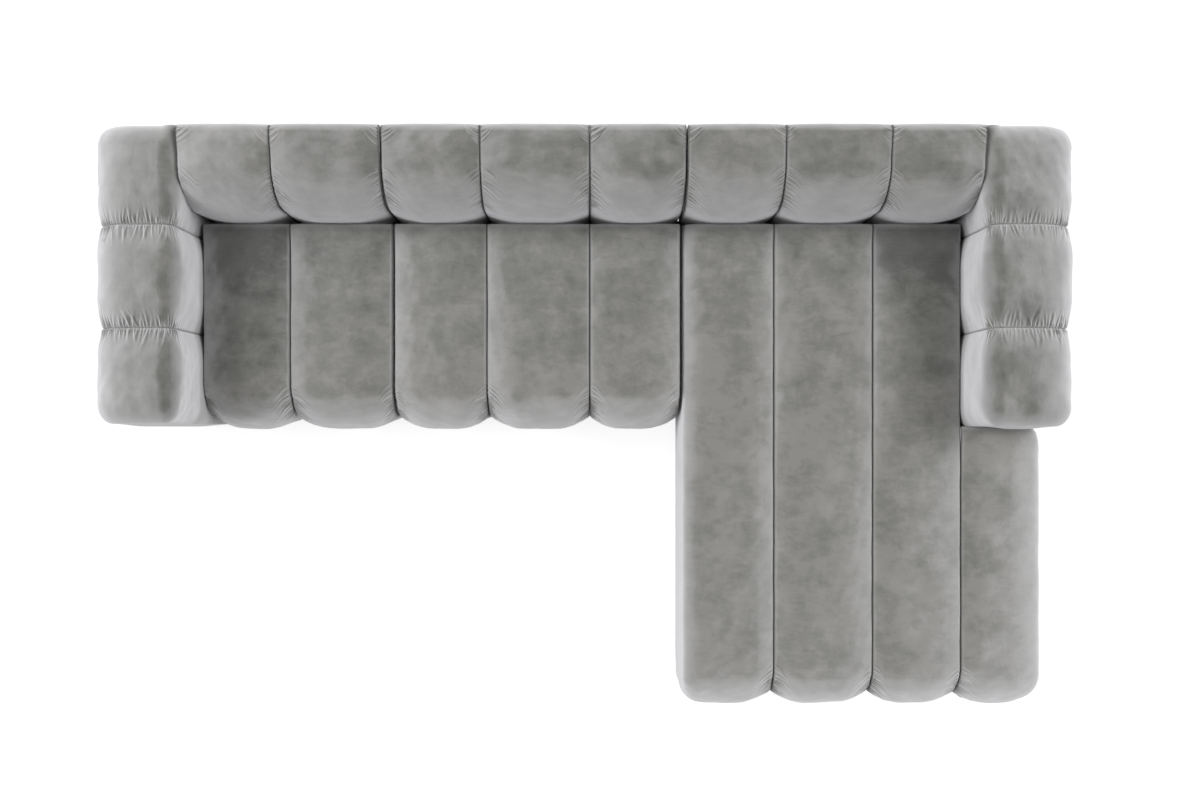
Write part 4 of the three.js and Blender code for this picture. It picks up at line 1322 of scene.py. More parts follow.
@dataclass(frozen=True)
class ArmPadding:
    """The three channels of an arm, rolled over both sides and closed at the front and the rear.

    Attributes:
        section, outer_side: the section, and 1 or -1 as the outer side looks towards +X or -X.
        base_runs_on: whether the base frame and the seat run on in front of the arm.
        outer_reach, outer_fall: how far in the rolled outer side starts, and how far down it runs.
        outer_bulge, bulge_height, bulge_turn: how far the outer side swells past its foot, at what
            height, and the lengths over which it turns there.
        innermost: share of the width from which a row counts as the inner side.
        rear_ease, front_ease: how much less the inner side is drawn in at the rear, and beside the seat.
        hidden: heights over the seat between which the inner side comes free.
        fold_side, fold: share of the width, and heights over the seat, where painted shade lies in the fold
            against it.
        bulge_levels: heights over the seat between which the front starts to bulge over it.
    """

    section: Section
    outer_side: int
    base_runs_on: bool
    pile: PileAndPaintedLight
    outer_reach: float = 0.150
    outer_fall: float = 0.110
    outer_pull_share: float = 0.75
    outer_bulge: float = 0.012
    bulge_height: float = 0.34
    bulge_turn: Pair = (0.12, 0.06)
    inner_round: float = 0.062
    gathered: float = 0.10
    innermost: float = 0.8
    rear_ease: float = 0.92
    front_ease: float = 0.5
    hidden: Pair = (-0.03, 0.10)
    fold_side: float = 0.9
    fold: Pair = (-0.01, 0.035)
    bulge_levels: Pair = (0.012, 0.07)
    drawing: Drawing = Drawing((0.026,) * 2, (0.105,) * 2, (0.26,) * 2, crease=0.008, crease_shade=0.35)
    gather: Gather = Gather(pitch=0.0125, height=0.0050, width=0.0023, length=0.030)
    face: ChannelEnd = ChannelEnd(Finish.EDGE, width=0.065, drop=0.050, bulge=0.009)
    first_seed: int = 900

    def channel(self, place: str) -> Channel:
        """One channel, from the frame's boxes, worked out from its outer side to its inner one.

        Args:
            place: rear, middle or front.

        Returns:
            The channel, not yet built.
        """
        node = f"{self.section.name}_arm_channel_{place}"
        low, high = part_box(node)
        frame_low, frame_high = self.section.box("arm_frame")
        frame_low, frame_high = frame_low - CLEARANCE_EACH_WAY, frame_high + CLEARANCE_EACH_WAY
        if not self.base_runs_on:
            frame_low.y = min(frame_low.y, self.section.box("base_frame")[0].y - CLEARANCE)
        turned = self.outer_side < 0
        outer, inner = (low.x, high.x) if turned else (high.x, low.x)
        near, far = (frame_low.x, frame_high.x) if turned else (frame_high.x, frame_low.x)
        foot, floor, top = self.section.foot_level, low.z, frame_high.z
        fullest = outer + self.outer_side * self.outer_bulge
        corners = [
            Corner(outer, floor),
            Corner(fullest, self.bulge_height, *self.bulge_turn),
            Corner(fullest, high.z, self.outer_fall, self.outer_reach),
            Corner(inner, high.z, self.inner_round, self.inner_round),
            Corner(inner, foot),
        ]
        hollow = [(far, foot), (far, top), (near, top), (near, floor)]
        over_seat = place == "front" and self.base_runs_on
        walled = [(far, foot), (near, foot), (near, floor)] if over_seat else [(inner, floor), (near, floor)]
        if turned:
            corners = [Corner(corner.u, corner.v, corner.after, corner.before) for corner in corners[::-1]]
            hollow, walled = hollow[::-1], walled[::-1]
        level = high.z - self.gathered
        outline = Outline(corners, [Gathering((high.x, level), (low.x, level), 0.0)])
        points, _ = outline.at(outline.rows)
        inward = (points[:, 0] - outer) / (inner - outer)
        seat_top = self.section.box("seat_channel_1")[1].z
        height = points[:, 1] - seat_top
        inner_side = fade(inward, self.innermost, 1.0)
        hidden = inner_side * (1 - fade(height, *self.hidden))
        start, finish = low.y, high.y
        if place == "front" and not self.base_runs_on:
            start += self.face.bulge
        levels = tuple(seat_top + level for level in self.bulge_levels)
        return Channel(
            node=node,
            body=self.section.body,
            along=Along.Y,
            span=(start, finish),
            ends=(self.face if place == "front" else SEWN, self.face if place == "rear" else SEWN),
            outline=outline,
            closing=Closing(hollow, walled, max(frame_low.y - start, 0.0), max(finish - frame_high.y, 0.0)),
            drawing=self.drawing,
            gather=self.gather,
            pull=self.outer_pull_share + (1 - self.outer_pull_share) * inward,
            edge_pull=1 - (self.rear_ease * inner_side if place == "rear" else self.front_ease * hidden),
            room=1 - hidden,
            front=np.zeros_like(inward),
            deep=fade(inward, self.fold_side, 1.0) * (1 - fade(height, *self.fold)),
            seed=self.section.seed(self.first_seed, len(place)),
            pile=self.pile,
            **({"bulge_from": levels} if over_seat else {}),
        )


@dataclass(frozen=True)
class Grain:
    """A fractal noise.

    Attributes:
        scale: cycles per metre.
        detail: octaves.
        rough: strength of each finer octave.
        warp: distortion.
    """

    scale: float | Socket
    detail: float
    rough: float
    warp: float = 0.0


class Nodes:
    """A node tree, with short calls that add nodes, feed their inputs and hand back a socket."""

    def __init__(self, tree: bpy.types.NodeTree) -> None:
        """Keeps the tree."""
        self.tree = tree

    def feed(self, value: object, target: Socket) -> None:
        """Links a socket to an input, or sets the input to a value."""
        if isinstance(value, Socket):
            self.tree.links.new(value, target)
        else:
            target.default_value = value

    def add(self, kind: str, inputs: dict | tuple = (), **settings: object) -> Outputs:
        """Adds a node.

        Args:
            kind: the node's type, past the words that all of them start with.
            inputs: a socket or a value for inputs by name, or for the first ones in order.
            settings: properties of the node by name.

        Returns:
            Its outputs.
        """
        node = self.tree.nodes.new(f"ShaderNode{kind}")
        for name, value in settings.items():
            setattr(node, name, value)
        for label, value in inputs.items() if isinstance(inputs, dict) else enumerate(inputs):
            self.feed(value, node.inputs[label])
        return node.outputs

    def math(self, operation: str, *values: object) -> Socket:
        """A value worked out from others, each a socket or a number."""
        return self.add("Math", values, operation=operation)[0]

    def vector(self, operation: str, *values: object) -> Socket:
        """A vector worked out from others, each a socket or a row of numbers."""
        return self.add("VectorMath", values, operation=operation)[0]

    def scaled(self, vector: Socket, factor: Socket) -> Socket:
        """A vector times a number."""
        return self.add("VectorMath", {0: vector, "Scale": factor}, operation="SCALE")[0]

    def parts(self, vector: Socket) -> Outputs:
        """The three parts of a vector."""
        return self.add("SeparateXYZ", (vector,))

    def attribute(self, name: str, output: str = "Fac") -> Socket:
        """An attribute of the mesh."""
        return self.add("Attribute", attribute_name=name)[output]

    def noise(self, vector: Socket, grain: Grain, output: str = "Fac") -> Socket:
        """Fractal noise over coordinates in metres."""
        sizes = {"Scale": grain.scale, "Detail": grain.detail, "Roughness": grain.rough}
        return self.add("TexNoise", {"Vector": vector, "Distortion": grain.warp} | sizes)[output]

    def sum_of(self, *parts: tuple[Socket, float]) -> Socket:
        """The sum of values, each times its own number.

        Args:
            parts: each value's socket and number.

        Returns:
            The sum's socket.
        """
        total = self.math("MULTIPLY", *parts[0])
        for value, factor in parts[1:]:
            total = self.math("MULTIPLY_ADD", value, factor, total)
        return total

    def stretch(self, vector: Socket, scale: Colour, turn: float = 0.0) -> Socket:
        """Coordinates turned by an angle in degrees in their own plane, and scaled along each axis."""
        inputs = {"Vector": vector, "Scale": scale, "Rotation": (0, 0, math.radians(turn))}
        return self.add("Mapping", inputs)["Vector"]

    def ramp(self, value: Socket, stops: list[tuple[float, Colour]]) -> Socket:
        """A colour ramp.

        Args:
            value: the factor.
            stops: place and colour of each stop.

        Returns:
            The colour's socket.
        """
        colour = self.add("ValToRGB", {"Fac": value})["Color"]
        elements = colour.node.color_ramp.elements
        while len(elements) < len(stops):
            elements.new(0.5)
        for element, (place, shade) in zip(elements, stops):
            element.position = place
            element.color = (*shade, 1)
        return colour

    def blend(self, share: Socket, first: object, second: object) -> Socket:
        """Two colours, mixed by a share of the second."""
        inputs = {"Factor": share, "A": first, "B": second}
        return self.add("Mix", inputs, data_type="RGBA", blend_type="MIX")["Result"]

    def bump(self, height: Socket, strength: float, distance: float, normal: Socket | None = None) -> Socket:
        """A bump from a height, on the normal under it where one is given."""
        inputs = {"Height": height, "Strength": strength, "Distance": distance}
        return self.add("Bump", inputs | ({"Normal": normal} if normal else {}))["Normal"]


class Group:
    """A shader node group with named inputs and outputs.

    Attributes:
        tree: the group.
        nodes: short calls that add its nodes.
        given: its inputs.
        result: its outputs.
    """

    def __init__(self, name: str, inputs: dict[str, str], outputs: dict[str, str]) -> None:
        """Makes the group's sockets.

        Args:
            name: its name.
            inputs: each input's type of socket, by name.
            outputs: each output's type of socket, by name.
        """
        self.tree = bpy.data.node_groups.new(name, "ShaderNodeTree")
        for direction, sockets in (("INPUT", inputs), ("OUTPUT", outputs)):
            for label, kind in sockets.items():
                self.tree.interface.new_socket(label, in_out=direction, socket_type=f"NodeSocket{kind}")
        self.nodes = Nodes(self.tree)
        self.given = self.tree.nodes.new("NodeGroupInput").outputs
        self.result = self.tree.nodes.new("NodeGroupOutput").inputs

    def gives(self, **outputs: Socket) -> "Group":
        """Links the group's outputs, each named in small letters."""
        for label, socket in outputs.items():
            self.nodes.feed(socket, self.result[label.capitalize()])
        return self

    def used_in(self, nodes: Nodes, **values: object) -> Outputs:
        """Places the group in a tree, with a socket or a value for each input, named in small letters."""
        inputs = {label.replace("_", " ").capitalize(): value for label, value in values.items()}
        return nodes.add("Group", inputs, node_tree=self.tree)


def mottle_group() -> Group:
    """Slow cloudy variation of a colour and a roughness.

    The swing is (noise - 1/2) x 2 x strength; the colour is multiplied by 1 + swing, and 0.4 x swing is added
    to the roughness.

    Returns:
        The group.
    """
    group = Group(
        "mottle",
        {"Place": "Vector", "Colour": "Color", "Spots": "Float", "Strength": "Float", "Roughness": "Float"},
        {"Colour": "Color", "Roughness": "Float", "Height": "Float"},
    )
    nodes, given = group.nodes, group.given
    noise = nodes.noise(given["Place"], Grain(given["Spots"], detail=5.0, rough=0.62, warp=0.4))
    swing = nodes.math("MULTIPLY", nodes.math("MULTIPLY_ADD", noise, 2.0, -1.0), given["Strength"])
    return group.gives(
        colour=nodes.scaled(given["Colour"], nodes.math("ADD", swing, 1.0)),
        roughness=nodes.math("MULTIPLY_ADD", swing, 0.4, given["Roughness"]),
        height=noise,
    )


def weave_group() -> Group:
    """Threads that cross over and under one another.

    With x and y counted in threads, the height is 1/2 + 1/2 sin(x) sin(y), and the colour runs from the gap's
    to the thread's as the height rises.

    Returns:
        The group.
    """
    group = Group(
        "weave",
        {"Place": "Vector", "Threads": "Float", "Thread colour": "Color", "Gap colour": "Color"},
        {"Colour": "Color", "Height": "Float"},
    )
    nodes, given = group.nodes, group.given
    counted = nodes.scaled(given["Place"], nodes.math("MULTIPLY", given["Threads"], TURN))
    wave = nodes.parts(nodes.vector("SINE", counted))
    height = nodes.math("MULTIPLY_ADD", nodes.math("MULTIPLY", wave["X"], wave["Y"]), 0.5, 0.5)
    return group.gives(colour=nodes.blend(height, given["Gap colour"], given["Thread colour"]), height=height)


def clouds(spots: float, strength: float, roughness: float) -> dict[str, float]:
    """Spots in a metre and strength of the cloudy patches on a finish, and its roughness."""
    return {"spots": spots, "strength": strength, "roughness": roughness}


class Surface:
    """A new material.

    Attributes:
        material: the material.
        nodes: short calls that add its nodes.
        place: socket of a point's place on the object.
    """

    def __init__(self, name: str) -> None:
        """Makes the material."""
        self.material = bpy.data.materials.new(name)
        self.material.use_nodes = True
        self.nodes = Nodes(self.material.node_tree)
        self.place = self.nodes.add("TexCoord")["Object"]

    def finished(self, inputs: dict[str, object]) -> Material:
        """Feeds the shader's inputs, and gives the material."""
        shader = self.material.node_tree.nodes["Principled BSDF"]
        for label, value in inputs.items():
            self.nodes.feed(value, shader.inputs[label])
        return self.material

    def mottled(self, mottle: Group, inputs: dict[str, object], **values: object) -> Material:
        """Lays cloudy patches over a colour and a roughness, and finishes the material."""
        cloudy = mottle.used_in(self.nodes, place=self.place, **values)
        return self.finished({"Base Color": cloudy["Colour"], "Roughness": cloudy["Roughness"]} | inputs)


@dataclass(frozen=True)
class Stroke:
    """Marks that a hand leaves in the pile, all one way.

    Attributes:
        scale: how much shorter they are along each axis of the cloth.
        turn: their slant in degrees.
        cycles: marks in a metre.
        share: their strength.
    """

    scale: Colour
    turn: float
    cycles: float
    share: float


@dataclass(frozen=True)
class Velvet:
    """Grey velvet: nap in lighter and darker patches, with painted light and shade, and a painted sheen where
    it turns from the eye.

    Attributes:
        shades: place on the scale and colour of the painted shade beside arms and in corners, and of darker,
            middle and lighter nap.
        patches, strokes, mix: the broad patches, the marks of a hand, and the shares of both.
        tips, painted_sheen_shown: colour of the painted sheen, and how much of it is mixed into the colour,
            by the root
        of how far the fibres turn from the eye.
        stray, stray_lean: how the fibres stray from place to place, and how far, which moves the painted
            sheen about.
        soft_bump, pile_bump: strength and height of the strokes, and of the fibres.
        crushed, painted_crease_most: share of the dark colour that the painted shade in a seam takes, and how
            much of it shows.
    """

    name: str = "grey_velvet"
    shades: tuple[tuple[float, Colour], ...] = (
        (0.30, (0.092, 0.093, 0.087)),
        (0.44, (0.152, 0.153, 0.142)),
        (0.53, (0.190, 0.189, 0.176)),
        (0.62, (0.238, 0.233, 0.220)),
    )
    patches: Grain = Grain(8.0, 4.0, 0.60, 0.3)
    strokes: tuple[Stroke, ...] = (
        Stroke((1.0, 2.0, 1.0), 22, 15.0, 0.40),
        Stroke((2.0, 1.0, 1.0), 28, 14.0, 0.30),
        Stroke((1.0, 2.0, 1.0), -44, 15.0, 0.40),
    )
    mix: Pair = (0.42, 0.55)
    painted_sheen: Colour = (0.80, 0.80, 0.82)
    painted_sheen_shown: tuple[Pair, ...] = (
        (0.06, 0.0), (0.20, 0.06), (0.30, 0.17), (0.54, 0.35), (0.72, 0.60), (0.90, 0.95)
    )
    stray: Grain = Grain(10.0, 4.0, 0.62)
    stray_lean: float = 0.34
    soft_bump: Pair = (0.5, 0.0036)
    pile: Grain = Grain(1100.0, 2.0, 0.7)
    pile_bump: Pair = (0.25, 0.0003)
    painted_crease_dark: float = 0.5
    painted_crease_most: float = 0.9
    shader: tuple[tuple[str, object], ...] = (
        ("Roughness", 0.90),
        ("Specular IOR Level", 0.15),
        ("Sheen Weight", 0.20),
        ("Sheen Roughness", 0.45),
        ("Sheen Tint", WHITE),
    )

    def build(self) -> Material:
        """Makes the material."""
        surface = Surface(self.name)
        nodes, place = surface.nodes, surface.place
        cloth = nodes.add("UVMap", uv_map="cloth")["UV"]
        marks = []
        for stroke in self.strokes:
            along = nodes.stretch(cloth, stroke.scale, stroke.turn)
            marks.append((nodes.noise(along, Grain(stroke.cycles, 5.0, 0.66, 0.7)), stroke.share))
        strokes = nodes.sum_of(*marks)
        patches = nodes.noise(place, self.patches)
        # The scale is the random patches and strokes plus each place's painted light and shade and its
        # cover's tone.
        tone_and_painted_light = nodes.attribute("tone_and_painted_light")
        mixed = nodes.sum_of((patches, self.mix[0]), (strokes, self.mix[1]), (tone_and_painted_light, 1.0))
        soft = nodes.bump(strokes, *self.soft_bump)
        # Painted sheen: the pile's lean, the strokes' bump and a random stray tilt the normal that Layer
        # Weight reads, and a pale colour is mixed into the base colour as it turns from the eye.
        stray = nodes.noise(place, self.stray, "Color")
        lean = self.stray_lean
        strayed = nodes.vector("MULTIPLY_ADD", stray, (lean,) * 3, (-lean / 2,) * 3)
        leaning = nodes.vector("ADD", strayed, nodes.attribute("nap", "Vector"))
        fibre = nodes.vector("NORMALIZE", nodes.vector("ADD", soft, leaning))
        away = nodes.add("LayerWeight", {"Blend": 0.5, "Normal": fibre})["Facing"]
        shown = [(turn, (share,) * 3) for turn, share in self.painted_sheen_shown]
        turned = nodes.ramp(nodes.math("POWER", away, 0.5), shown)
        # Painted shade in the seams' creases and folds: the colour darkens there, and the painted sheen is
        # left out.
        seam = nodes.attribute("seam")
        dark = self.shades[1][1]
        painted_crease_dark = (*(self.painted_crease_dark * value for value in dark), 1)
        painted_crease_share = nodes.math("MULTIPLY", seam, self.painted_crease_most)
        nap = nodes.blend(painted_crease_share, nodes.ramp(mixed, list(self.shades)), painted_crease_dark)
        painted_sheen_open = nodes.math("MULTIPLY", turned, nodes.math("SUBTRACT", 1.0, seam))
        colour = nodes.blend(painted_sheen_open, nap, (*self.painted_sheen, 1))
        normal = nodes.bump(nodes.noise(place, self.pile), *self.pile_bump, soft)
        return surface.finished({"Base Color": colour, "Normal": normal} | dict(self.shader))


@dataclass(frozen=True)
class Timber:
    """Sawn softwood and plywood, unfinished: grain along each member, dark late wood, dull patches."""

    early: Colour = (0.66, 0.50, 0.31)
    middle: Colour = (0.56, 0.40, 0.23)
    late: Colour = (0.40, 0.26, 0.13)
    long: float = 4.0
    short: float = 72.0

    def build(self, mottle: Group) -> Material:
        """Makes the material.

        The grain is noise stretched 18 times along X, and along Y on the faces that look along X.

        Args:
            mottle: the group of cloudy patches.

        Returns:
            The material.
        """
        surface = Surface("sawn_timber")
        nodes, place = surface.nodes, surface.place
        facing = nodes.parts(nodes.vector("ABSOLUTE", nodes.add("NewGeometry")["Normal"]))
        sideways = nodes.math("GREATER_THAN", facing["X"], 0.5)
        long, short = self.long, self.short
        stretched = (nodes.stretch(place, scale) for scale in ((long, short, short), (short, long, short)))
        fibre = Grain(1.0, 6.0, 0.60, 0.8)
        grain = nodes.blend(sideways, *(nodes.noise(along, fibre) for along in stretched))
        saw_marks = nodes.noise(nodes.stretch(place, (700.0, 60.0, 60.0)), Grain(1.0, 2.0, 0.5))
        return surface.mottled(
            mottle,
            {
                "Normal": nodes.bump(grain, 0.35, 0.0008, nodes.bump(saw_marks, 0.25, 0.0003)),
                "Specular IOR Level": 0.3,
            },
            colour=nodes.ramp(grain, [(0.38, self.late), (0.48, self.middle), (0.60, self.early)]),
            **clouds(spots=7.0, strength=0.16, roughness=0.72),
        )


@dataclass(frozen=True)
class Webbing:
    """Elastic webbing: black woven straps with paler rubber threads."""

    thread: Colour = (0.050, 0.047, 0.043)
    gap: Colour = (0.012, 0.011, 0.010)
    threads: float = 380.0

    def build(self, weave: Group, mottle: Group) -> Material:
        """Makes the material.

        Args:
            weave: the group of crossing threads.
            mottle: the group of cloudy patches.

        Returns:
            The material.
        """
        surface = Surface("elastic_webbing")
        colours = {"thread_colour": (*self.thread, 1), "gap_colour": (*self.gap, 1)}
        woven = weave.used_in(surface.nodes, place=surface.place, threads=self.threads, **colours)
        normal = surface.nodes.bump(woven["Height"], 0.6, 0.0005)
        return surface.mottled(
            mottle,
            {"Normal": normal, "Specular IOR Level": 0.25},
            colour=woven["Colour"],
            **clouds(spots=22.0, strength=0.35, roughness=0.82),
        )


@dataclass(frozen=True)
class DustCloth:
    """Thin black cloth of pressed fibres, with its bonding points in diagonal rows."""

    fibre: Colour = (0.022, 0.022, 0.023)
    point: Colour = (0.009, 0.009, 0.010)
    points: float = 260.0
    fibres: Grain = Grain(1400.0, 3.0, 0.7, 1.2)

    def build(self, weave: Group, mottle: Group) -> Material:
        """Makes the material.

        Args:
            weave: the group of crossing threads, whose gaps are the bonding points.
            mottle: the group of cloudy patches.

        Returns:
            The material.
        """
        surface = Surface("dust_cloth")
        nodes, place = surface.nodes, surface.place
        diagonal = nodes.stretch(place, (1.0, 1.0, 1.0), 45)
        colours = {"thread_colour": (*self.fibre, 1), "gap_colour": (*self.point, 1)}
        bonded = weave.used_in(nodes, place=diagonal, threads=self.points, **colours)
        fibres = nodes.bump(nodes.noise(place, self.fibres), 0.35, 0.0002)
        return surface.mottled(
            mottle,
            {"Normal": nodes.bump(bonded["Height"], 0.5, 0.0003, fibres), "Specular IOR Level": 0.3},
            colour=bonded["Colour"],
            **clouds(spots=60.0, strength=0.55, roughness=0.78),
        )


@dataclass(frozen=True)
class FootPlastic:
    """Moulded black plastic with a fine grain, scuffed paler at the toe."""

    base: Colour = (0.012, 0.012, 0.012)
    scuffed: Colour = (0.060, 0.058, 0.055)
    toe: float = 0.009
    rubbed: Grain = Grain(420.0, 3.0, 0.7)
    grain: Grain = Grain(2600.0, 2.0, 0.6)

    def build(self, mottle: Group) -> Material:
        """Makes the material.

        Args:
            mottle: the group of cloudy patches.

        Returns:
            The material.
        """
        surface = Surface("foot_plastic")
        nodes, place = surface.nodes, surface.place
        height = nodes.math("MULTIPLY", nodes.parts(place)["Z"], 1 / self.toe)
        worn = nodes.sum_of((height, -0.55), (nodes.noise(place, self.rubbed), 1.0))
        return surface.mottled(
            mottle,
            {"Normal": nodes.bump(nodes.noise(place, self.grain), 0.4, 0.0001)},
            colour=nodes.ramp(worn, [(0.30, self.base), (0.62, self.scuffed)]),
            **clouds(spots=90.0, strength=0.22, roughness=0.50),
        )


@dataclass(frozen=True)
class ZincSteel:
    """Bright zinc on pressed sheet steel: fine lines from the rolling, and dull clouds."""

    colour: Colour = (0.60, 0.61, 0.62)
    dull_share: float = 0.84
    lines: Colour = (30.0, 1500.0, 1500.0)

    def build(self, mottle: Group) -> Material:
        """Makes the material.

        Args:
            mottle: the group of cloudy patches.

        Returns:
            The material.
        """
        surface = Surface("zinc_steel")
        nodes = surface.nodes
        lines = nodes.noise(nodes.stretch(surface.place, self.lines), Grain(1.0, 3.0, 0.6))
        dull = tuple(self.dull_share * value for value in self.colour)
        return surface.mottled(
            mottle,
            {"Normal": nodes.bump(lines, 0.3, 0.00006), "Metallic": 1.0},
            colour=nodes.ramp(lines, [(0.35, dull), (0.65, self.colour)]),
            **clouds(spots=130.0, strength=0.16, roughness=0.34),
        )


@dataclass(frozen=True)
class PlateScrews:
    """The two low screws of a connector plate, as one piece.

    Attributes:
        plate, thickness: the plate's node and its thickness.
        radius, head, rim, dome: the head's radius and height, points of its rim as shares of both, and
            the share of the height by which its face is domed.
        shank, reach, gap: the shank's radius, how far up it is made, and how far the head stands off.
        face: shares of the radius between which the face is made, and its number of rings.
        recess, arm_share, cross: depth of the cross, width of its arms as a share of the radius, and
            shares of the radius between which it fades out.
        inset, spread: distance of the nearest hole from the plate's own end, and between the holes of a
            tongue and of a keeper.
        steps, sharp: columns round a screw, and the angle from which an edge is sharp.
        turns: angle of the first cross, and how much further the next is turned.
    """

    plate: str
    thickness: float = 0.003
    radius: float = 0.0044
    head: float = 0.00063
    shank: float = 0.0021
    reach: float = 0.0029
    gap: float = 0.00002
    rim: tuple[Pair, ...] = ((1.0, 0.3), (0.95, 0.62), (0.85, 0.86))
    face: tuple[float, float, int] = (0.72, 0.06, 11)
    dome: float = 0.08
    recess: float = 0.00034
    arm_share: float = 0.13
    cross: Pair = (0.45, 0.68)
    inset: float = 0.012
    spread: Pair = (0.018, 0.040)
    steps: int = 48
    sharp: float = 40.0
    turns: Pair = (0.4, 0.9)

    def holes(self) -> list[Pair]:
        """Places of the plate's holes: along a tongue's length, and across a keeper's."""
        low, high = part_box(self.plate)
        middle = (low.y + high.y) / 2
        tongue = "tongue" in self.plate
        from_low = self.plate.startswith("left") if tongue else "_left_" not in self.plate
        near = low.x + self.inset if from_low else high.x - self.inset
        along, across = self.spread
        if tongue:
            return [(near, middle), (near + (along if from_low else -along), middle)]
        return [(near, middle - across / 2), (near, middle + across / 2)]

    def surface(self, x: float, y: float, under: float, turn: float) -> tuple[Array, Array]:
        """One screw: a profile carried round its axis, with a cross sunk into its face.

        The cross sinks the face by the recess times the larger of two bell curves, one across each of its
        arms, faded out towards the rim.

        Args:
            x: place of its axis.
            y: place of its axis.
            under: level of the plate's underside.
            turn: angle of the cross.

        Returns:
            (vertices, 3) points and (faces, 4) corners, with a corner repeated at the poles.
        """
        r, h = self.radius, self.head
        rings = np.linspace(self.face[0] * r, self.face[1] * r, self.face[2])
        rim = np.array(self.rim)
        wide = np.concatenate([[self.shank, self.shank, r], r * rim[:, 0], rings])
        dome = h * (1 - self.dome + self.dome * np.cos(rings / r * math.pi / 2))
        level = np.concatenate([[self.reach, -self.gap, -self.gap], -h * rim[:, 1], -dome])
        angles = np.linspace(0, TURN, self.steps, endpoint=False)
        u, v = wide[:, None] * np.cos(angles), wide[:, None] * np.sin(angles)
        arms = np.exp(-((np.stack([u, v]) / (self.arm_share * r)) ** 2)).max(axis=0)
        fading = (1 - fade(wide, self.cross[0] * r, self.cross[1] * r)) * (level < -0.5 * h)
        z = under + level[:, None] + self.recess * arms * fading[:, None]
        cos, sin = math.cos(turn), math.sin(turn)
        points = np.stack([x + u * cos - v * sin, y + u * sin + v * cos, z], axis=-1).reshape(-1, 3)
        poles = np.array([[x, y, under + level[0]], [x, y, under - h + self.recess]])
        grid = 1 + np.arange(len(points)).reshape(len(wide), self.steps)
        grid = np.pad(grid, ((1, 1), (0, 1)), "wrap")
        grid[0], grid[-1] = 0, len(points) + 1
        return np.concatenate([poles[:1], points, poles[1:]]), grid_faces(grid)

    def build(self, material: Material) -> None:
        """Makes the piece and sets it on the plate's body.

        Args:
            material: its finish.
        """
        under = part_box(self.plate)[1].z - self.thickness
        points, faces, count = [], [], 0
        for number, (x, y) in enumerate(self.holes()):
            own_points, own_faces = self.surface(x, y, under, self.turns[0] + self.turns[1] * number)
            faces += [tuple(dict.fromkeys((face + count).tolist())) for face in own_faces]
            points.append(own_points)
            count += len(own_points)
        piece = new_object(f"{self.plate}_screws", np.concatenate(points), faces)
        shade_smooth(piece.data, self.sharp)
        piece.data.materials.append(material)
        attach(piece, f"{self.plate.split('_')[0]}_section")
        log.info("%s: %d faces", piece.name, len(piece.data.polygons))


class Structure:
    """The frames, straps, cloths, feet and plates, which stay as given and get their finishes."""

    def __init__(self) -> None:
        """Builds the finishes."""
        mottle, weave = mottle_group(), weave_group()
        self.finishes = {
            "timber": Timber().build(mottle),
            "webbing": Webbing().build(weave, mottle),
            "dust_cloth": DustCloth().build(weave, mottle),
            "foot_plastic": FootPlastic().build(mottle),
            "zinc_steel": ZincSteel().build(mottle),
        }

    def dress(self) -> None:
        """Gives every node that shows its finish, and adds the plates' screws."""
        for part in frame["record"]["subparts"]:
            node, slot = part["node"], part["material_slot"]
            if slot not in self.finishes:
                continue
            for place in bpy.data.objects[node].material_slots:
                place.material = self.finishes[slot]
            log.info("%s: %s", node, slot)
            if "_plate" in node:
                PlateScrews(node).build(self.finishes["zinc_steel"])


@dataclass(frozen=True)
class SideLamp:
    """A broad soft lamp far away.

    Attributes:
        tilt, heading: angle from straight above, and from +X towards +Y in plan, in degrees.
        breadth: angle that it spans, in degrees.
    """

    name: str
    energy: float
    tilt: float
    heading: float
    breadth: float = 34.0

    def build(self) -> None:
        """Hangs the lamp."""
        data = bpy.data.lights.new(self.name, "SUN")
        data.energy = self.energy
        data.angle = math.radians(self.breadth)
        lamp = bpy.data.objects.new(self.name, data)
        tilt, heading = math.radians(self.tilt), math.radians(self.heading)
        flat = math.sin(tilt)
        towards = Vector((flat * math.cos(heading), flat * math.sin(heading), math.cos(tilt)))
        lamp.rotation_euler = towards.to_track_quat("Z", "Y").to_euler()
        bpy.context.scene.collection.objects.link(lamp)


